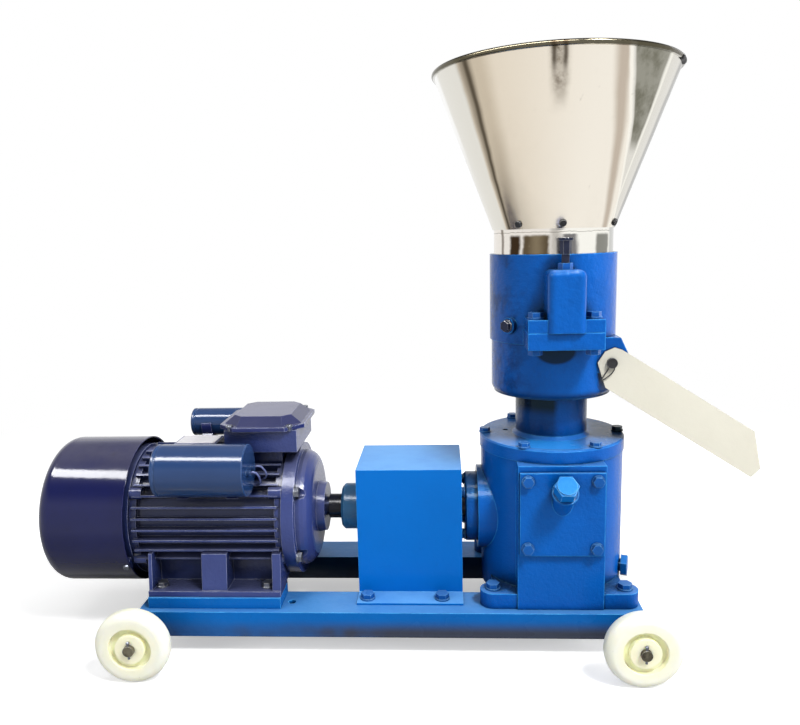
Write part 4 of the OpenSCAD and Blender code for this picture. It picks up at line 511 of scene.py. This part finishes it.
def collar_reflections(tree, angle, height, mottle):
    """The dark reflections low on the collar, with its bright lip above"""
    colour = blend_colour(tree, between(tree, angle, -10, 20), tint("e8e2da"), tint("f8f6ee"))
    edge = plus(tree, height, times(tree, mottle, 0.0014))
    low = between(tree, edge, COLLAR_LIP, COLLAR_LIP - 0.0045)
    angle = plus(tree, angle, times(tree, mottle, 1.6))
    for centre, half, code in COLLAR_DARKS:
        colour = layer(tree, colour, both(tree, stripe(tree, angle, centre, half, 2.2), low), code)
    colour = layer(tree, colour, both(tree, stripe(tree, angle, -13, 5, 5), low), "8a7c64", 0.7)
    # A painted shade just under the lip
    lip_shade_band = between(tree, edge, COLLAR_LIP, COLLAR_LIP - 0.002)
    colour = layer(tree, colour, both(tree, stripe(tree, angle, 17, 7, 3), lip_shade_band), "4c4a50", 0.85)
    colour = layer(tree, colour, stripe(tree, angle, -54, 2, 1.5), "7c7268", 0.9)
    colour = layer(tree, colour, stripe(tree, angle, 4, 4, 3), "9b958c", 0.6)
    seam = stripe(tree, times(tree, minus(tree, edge, COLLAR_SEAM), MM_PER_M), 0, 0.5, 0.4)
    colour = layer(tree, colour, seam, "6f6658", 0.55)
    return layer(tree, colour, between(tree, angle, 62, 68), "c6c6c2")


def hopper_stainless():
    """Bright rolled stainless sheet, with painted reflections: the bands of a polished cone"""
    made, tree, shader = blank("hopper_stainless")
    at, height, _, angle = about_head(tree)
    level = put(tree, "ShaderNodeMapRange", {
        "Value": height, "From Min": CONE_FOOT, "From Max": CONE_RIM}).outputs["Result"]
    cloudy = noise(tree, at, 9.0, 3.0, 0.55)
    angle = plus(tree, angle, times(tree, minus(tree, cloudy, 0.5), 5.0))
    mottle = between(tree, noise(tree, at, 34.0, 5.0, 0.65), 0.35, 0.65)
    cone = cone_reflections(tree, angle, level, mottle)
    collar = collar_reflections(tree, angle, height, mottle)
    on_cone = between(tree, height, CONE_FOOT - 0.0005, CONE_FOOT + 0.0005)
    colour = blend_colour(tree, on_cone, collar, cone)
    spots = between(tree, noise(tree, at, 150.0, 3.0, 0.6), 0.66, 0.76)
    fill(tree, shader, {
        "Base Color": layer(tree, colour, spots, "a89c88", 0.18),
        "Roughness": plus(tree, 0.16, times(tree, mottle, 0.06)),
        "Normal": bump(tree, 0.12, 0.003, cloudy),
        "Metallic": 1.0})
    return made


# ---------------------------------------------------------------- nylon wheels

def wheel_radius(tree, at):
    """Distance from the axle of whichever wheel the point is on"""
    x, z = axis(tree, at, "X"), axis(tree, at, "Z")
    near_x = between(tree, x, -0.01, 0.01, WHEEL_REAR_X, WHEEL_FRONT_X)
    off = put(tree, "ShaderNodeCombineXYZ", {"X": minus(tree, x, near_x), "Z": minus(tree, z, WHEEL_Z)})
    return vector_maths(tree, "LENGTH", off.outputs[0])


def wheel_nylon():
    """Off-white cast nylon with a faint painted glow, letting some light through, yellower in a ring round
    its hub
    """
    made, tree, shader = blank("wheel_nylon")
    at = place(tree)
    edges = shared(tree, "worn_edges", {"Radius": 0.0015})
    cloud = between(tree, noise(tree, at, 16.0, 3.0, 0.55), 0.35, 0.70)
    scuff = between(tree, noise(tree, at, 90.0, 5.0, 0.7), 0.64, 0.76)
    radius = wheel_radius(tree, at)
    colour = blend_colour(tree, between(tree, radius, 0.022, 0.040), tint("f2eed0"), tint("e9e9dd"))
    colour = layer(tree, colour, cloud, "e4e4c6", 0.4)
    colour = layer(tree, colour, stripe(tree, radius, RING_R, RING_HALF, 0.003), "eaefbc", 0.65)
    colour = layer(tree, colour, scuff, "8d8771", 0.4)
    grain = noise(tree, at, 120.0, 3.0, 0.6)
    # The faint emission is a painted glow, no lamp
    fill(tree, shader, {
        "Base Color": colour, "Emission Color": colour, "Emission Strength": 0.05,
        "Roughness": plus(tree, 0.30, times(tree, scuff, 0.3)),
        "Normal": bump(tree, 0.15, 0.0008, grain, Normal=edges.outputs["Normal"]),
        "Subsurface Weight": 0.35, "Subsurface Radius": (0.012, 0.010, 0.006), "Subsurface Scale": 1.0})
    return made


# ---------------------------------------------------------------- finishes

FINISH = {name: metal(name, *values) for name, values in METALS.items()}
FINISH.update(nylon_white=wheel_nylon(), stainless=hopper_stainless())
for name, values in ENAMELS.items():
    FINISH[name], paint_tree, paint_shader = enamel(name, *values)
    if name in MARKS:
        MARKS[name](paint_tree, paint_shader)

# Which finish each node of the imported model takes
WORN_BY = {
    "cast_blue": ["gearbox_housing", "gearbox_top_cover", "inspection_cover", "input_bearing_housing"],
    "head_blue": ["upper_barrel", "lower_chamber", "roller_brackets"],
    "sheet_blue": ["coupling_guard"],
    "rail_blue": ["front_rail", "rear_rail", "cross_members", "motor_pads"],
    "bolt_blue": ["gearbox_and_guard_bolts", "bracket_fasteners"],
    "plug_blue": ["oil_plugs"],
    "motor_navy": ["motor_frame", "drive_end_shield", "fan_end_shield", "terminal_box"],
    "cover_navy": ["fan_cover"],
    "lid_navy": ["terminal_box_lid", "capacitor_saddles"],
    "can_navy": ["start_capacitor", "run_capacitor"],
    "chute_paint": ["discharge_chute"],
    "bolt_zinc": ["motor_bolts", "axle_split_pins"],
    "plate_silver": ["motor_nameplate"],
    "machined_steel": ["main_shaft", "roller_shaft", "shaft_bearings", "pellet_sweeper"],
    "axle_steel": ["wheel_axles"],
    "shaft_steel": ["motor_shaft", "front_adjusting_screw", "rear_adjusting_screw", "casing_screws"],
    "dark_steel": ["hopper_screws", "chute_pins", "die_nut"],
    "gear_iron": ["crown_gear", "pinion_shaft", "die_plate", "front_roller", "rear_roller"],
    "lamination": ["stator_core", "rotor_core"],
    "copper_wire": ["stator_windings"],
    "plastic_black": ["cable_gland", "cooling_fan"],
    "rubber_black": ["shaft_seals", "coupling_spider"],
    "coupling_grey": ["motor_coupling_half", "gearbox_coupling_half"],
    "nylon_white": ["wheel_front_left", "wheel_front_right", "wheel_rear_left", "wheel_rear_right"],
    "stainless": ["hopper_cone", "hopper_collar"],
}


def dress(thing, finish):
    """Gives an object one finish"""
    thing.data.materials.clear()
    thing.data.materials.append(FINISH[finish])


for finish, names in WORN_BY.items():
    for name in names:
        dress(NODES[name], finish)


# ---------------------------------------------------------------- trim

def rod(name, points, radius, body, finish, sides=10):
    """A bent round rod through the points, in the machine's own frame"""
    spots = [Vector(p) for p in points]
    shape = bmesh.new()
    rings = []
    for i, spot in enumerate(spots):
        ahead = (spots[min(i + 1, len(spots) - 1)] - spots[max(i - 1, 0)]).normalized()
        side = (side - ahead * side.dot(ahead)).normalized() if rings else ahead.orthogonal().normalized()
        over = ahead.cross(side)
        rings.append([shape.verts.new(spot + (side * math.cos(a) + over * math.sin(a)) * radius)
                      for a in (2 * math.pi * k / sides for k in range(sides))])
    for a, b in zip(rings, rings[1:]):
        for k in range(sides):
            shape.faces.new((a[k], a[(k + 1) % sides], b[(k + 1) % sides], b[k]))
    shape.faces.new(reversed(rings[0]))
    shape.faces.new(rings[-1])
    bmesh.ops.recalc_face_normals(shape, faces=shape.faces)
    for face in shape.faces:
        face.smooth = len(face.verts) == 4
    mesh = bpy.data.meshes.new(name)
    shape.to_mesh(mesh)
    shape.free()
    made = bpy.data.objects.new(name, mesh)
    bpy.context.collection.objects.link(made)
    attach(made, body)
    dress(made, finish)


WIRE_R, WIRE_INSET = 0.0008, 0.0022
# Across and up from the pin's axis, from one side of the pin down and round to the other
LOOP = [(0.003, -0.003), (0.003, -0.009), (0.000, -0.014), (-0.006, -0.019), (-0.012, -0.023),
        (-0.014, -0.023), (-0.012, -0.019), (-0.008, -0.013), (-0.005, -0.008), (-0.003, -0.003)]


def chute_pin_wires():
    """A wire loop through the head of each chute pin"""
    low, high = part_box("chute_pins")
    x, z = (low[0] + high[0]) / 2, (low[2] + high[2]) / 2
    for side, y in (("front", low[1] + WIRE_INSET), ("rear", high[1] - WIRE_INSET)):
        rod("chute_pin_wire_" + side, [(x + across, y, z + up) for across, up in LOOP], WIRE_R,
            "machine", "dark_steel", sides=8)


# How far the lap's middle line lies inside the rim and below its top, and the lap's radius
LAP_INSET, LAP_DROP, LAP_R = 0.0032, 0.0042, 0.0040
LAP_ANGLES = [70, 72, 74, 76, 78, 80, 82]


def rim_lap():
    """The short lap where the hopper's rim bead closes"""
    low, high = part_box("hopper_cone")
    reach = (high[0] - low[0]) / 2 - LAP_INSET
    spots = []
    for turn in LAP_ANGLES:
        a = math.radians(turn)
        spots.append((HEAD_X + reach * (FACING[0] * math.cos(a) + SIDEWAYS[0] * math.sin(a)),
                      reach * (FACING[1] * math.cos(a) + SIDEWAYS[1] * math.sin(a)), high[2] - LAP_DROP))
    rod("hopper_rim_lap", spots, LAP_R, "hopper", "dark_steel")


LEAD_R = 0.0013
# Ahead of the terminals, sideways and up from the can's axis, for each lead
LEADS = {
    "near": [(-0.002, -0.012, 0.0), (0.003, -0.012, 0.001), (0.007, -0.010, -0.001), (0.009, -0.004, -0.008),
             (0.008, 0.006, -0.018), (0.004, 0.018, -0.026), (-0.004, 0.028, -0.031)],
    "far": [(-0.002, 0.012, 0.0), (0.003, 0.012, 0.002), (0.008, 0.013, 0.001), (0.012, 0.017, -0.006),
            (0.013, 0.023, -0.014), (0.009, 0.030, -0.021), (0.001, 0.036, -0.026)],
}


def capacitor_leads():
    """The two leads of the start capacitor, down between the fins"""
    low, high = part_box("start_capacitor")
    y, z = (low[1] + high[1]) / 2, (low[2] + high[2]) / 2
    for end, spots in LEADS.items():
        rod("start_capacitor_lead_" + end, [(high[0] + out, y + side, z + up) for out, side, up in spots],
            LEAD_R, "machine", "lead_sleeve")


chute_pin_wires()
rim_lap()
capacitor_leads()


# ---------------------------------------------------------------- studio

WHITE = (1, 1, 1, 1)
FLOOR_HALF = 9.0
# Distances from the middle at which the floor begins to fade to white and has faded, as the camera
# sees it and as the machine mirrors it
FLOOR_FADE, MIRROR_FADE = (0.70, 1.7), (0.35, 0.75)
FLOOR_SEEN, FLOOR_UNSEEN = (0.9, 0.9, 0.9, 1), (0.45, 0.45, 0.45, 1)
FLOOR_LIFT = 0.45
WORLD_LIGHT = 0.34
# Heights of the sky, as the sine of their angle, between which its mirror image in the machine darkens
SHEEN_BAND, SHEEN_HIGH = (0.30, 0.62), 0.30

# Place, aim, size and watts; then whether the lamp shades and whether it makes highlights
LAMPS = {
    "key": ((1.35, -1.45, 2.7), (0.0, 0.0, 0.35), (0.6, 0.6), 100, True, True),
    "fill": ((-2.0, -2.1, 1.4), (0.0, 0.0, 0.30), (1.4, 1.4), 23, True, False),
    "side": ((2.6, -0.7, 1.0), (0.1, 0.0, 0.35), (0.8, 1.4), 34, True, False),
    "top": ((0.0, 0.3, 2.9), (0.0, 0.0, 0.3), (1.8, 1.2), 20, True, False),
    "strip": ((-0.9, -0.88, 2.1), (-0.5, -0.10, 0.25), (3.2, 0.42), 130, False, True),
}


def looked_at(tree, ray):
    """Where the camera looks straight, by a mirror or through something clear"""
    seen = maths(tree, "MAXIMUM", ray.outputs["Is Camera Ray"], ray.outputs["Is Glossy Ray"])
    return maths(tree, "MAXIMUM", seen, ray.outputs["Is Transmission Ray"])


def floor_paint():
    """Pale near the machine, where it holds the shadow, and plain white beyond"""
    made = bpy.data.materials.new("floor_white")
    made.use_nodes = True
    tree = made.node_tree
    tree.nodes.clear()
    ray = put(tree, "ShaderNodeLightPath")
    camera = ray.outputs["Is Camera Ray"]
    pale = blend_colour(tree, camera, FLOOR_UNSEEN, FLOOR_SEEN)
    lit = put(tree, "ShaderNodeBsdfDiffuse", {"Color": pale}).outputs[0]
    lift = put(tree, "ShaderNodeEmission", {"Color": WHITE, "Strength": times(tree, camera, FLOOR_LIFT)})
    near = put(tree, "ShaderNodeAddShader", {0: lit, 1: lift.outputs[0]}).outputs[0]
    white = put(tree, "ShaderNodeEmission", {"Color": WHITE, "Strength": 1.0}).outputs[0]
    at = place(tree)
    fade = between(tree, vector_maths(tree, "LENGTH", at), *FLOOR_FADE)
    # The patch of floor that the machine mirrors is twice as long as it is deep
    clear = vector_maths(tree, "LENGTH", vector_maths(tree, "MULTIPLY", at, (0.5, 1.0, 0.0)))
    mirrored = times(tree, ray.outputs["Is Glossy Ray"], between(tree, clear, *MIRROR_FADE))
    share = maths(tree, "MAXIMUM", times(tree, fade, looked_at(tree, ray)), mirrored)
    mixed = put(tree, "ShaderNodeMixShader", {0: share, 1: near, 2: white}).outputs[0]
    put(tree, "ShaderNodeOutputMaterial", {"Surface": mixed})
    return made


def studio_floor():
    """A wide level floor under the wheels"""
    mesh = bpy.data.meshes.new("studio_floor")
    h = FLOOR_HALF
    mesh.from_pydata([(-h, -h, 0), (h, -h, 0), (h, h, 0), (-h, h, 0)], [], [(0, 1, 2, 3)])
    mesh.materials.append(floor_paint())
    floor = bpy.data.objects.new("studio_floor", mesh)
    bpy.context.collection.objects.link(floor)


def studio_world():
    """White where it is seen, and a plain grey where it lights"""
    world = bpy.data.worlds.new("studio")
    world.use_nodes = True
    tree = world.node_tree
    tree.nodes.clear()
    ray = put(tree, "ShaderNodeLightPath")
    up = axis(tree, put(tree, "ShaderNodeTexCoord").outputs["Generated"], "Z")
    sheen = between(tree, up, *SHEEN_BAND, 1.0, SHEEN_HIGH)
    shown = put(tree, "ShaderNodeMix", {0: ray.outputs["Is Glossy Ray"], 2: 1.0, 3: sheen},
                data_type="FLOAT").outputs[0]
    strength = put(tree, "ShaderNodeMix", {0: looked_at(tree, ray), 2: WORLD_LIGHT, 3: shown},
                   data_type="FLOAT").outputs[0]
    back = put(tree, "ShaderNodeBackground", {"Color": WHITE, "Strength": strength})
    put(tree, "ShaderNodeOutputWorld", {"Surface": back.outputs[0]})
    bpy.context.scene.world = world


def lamp(name, spot, aim, size, watts, shade, sheen):
    """A rectangular soft lamp that points at a spot, for shading, for highlights or for both"""
    data = bpy.data.lights.new(name, "AREA")
    data.shape = "RECTANGLE"
    data.size, data.size_y = size
    data.energy = watts
    made = bpy.data.objects.new(name, data)
    bpy.context.collection.objects.link(made)
    made.visible_diffuse = shade
    made.visible_glossy = sheen
    made.location = spot
    made.rotation_euler = (Vector(aim) - Vector(spot)).to_track_quat("-Z", "Y").to_euler()


studio_floor()
studio_world()
for name, settings in LAMPS.items():
    lamp(name, *settings)


# ---------------------------------------------------------------- camera

EYE = (0.07394, -1.05898, 0.57281)
YAW, PITCH, ROLL = (math.radians(a) for a in (3.34, 9.62, -1.37))
LENS_MM, SENSOR_MM = 33.12, 36.0
CLIP_START, CLIP_END = 0.05, 60


def photo_camera():
    """The camera where the photograph was taken from"""
    ahead = Vector((-math.sin(YAW) * math.cos(PITCH), math.cos(YAW) * math.cos(PITCH), -math.sin(PITCH)))
    level = ahead.cross(Vector((0, 0, 1))).normalized()
    over = level.cross(ahead)
    right = level * math.cos(ROLL) + over * math.sin(ROLL)
    up = over * math.cos(ROLL) - level * math.sin(ROLL)
    data = bpy.data.cameras.new("photo_camera")
    data.lens = LENS_MM
    data.sensor_width = SENSOR_MM
    data.clip_start = CLIP_START
    data.clip_end = CLIP_END
    camera = bpy.data.objects.new("photo_camera", data)
    bpy.context.collection.objects.link(camera)
    camera.matrix_world = Matrix.Translation(EYE) @ Matrix((right, up, -ahead)).transposed().to_4x4()
    bpy.context.scene.camera = camera


photo_camera()
bpy.context.scene.view_settings.view_transform = "Standard"
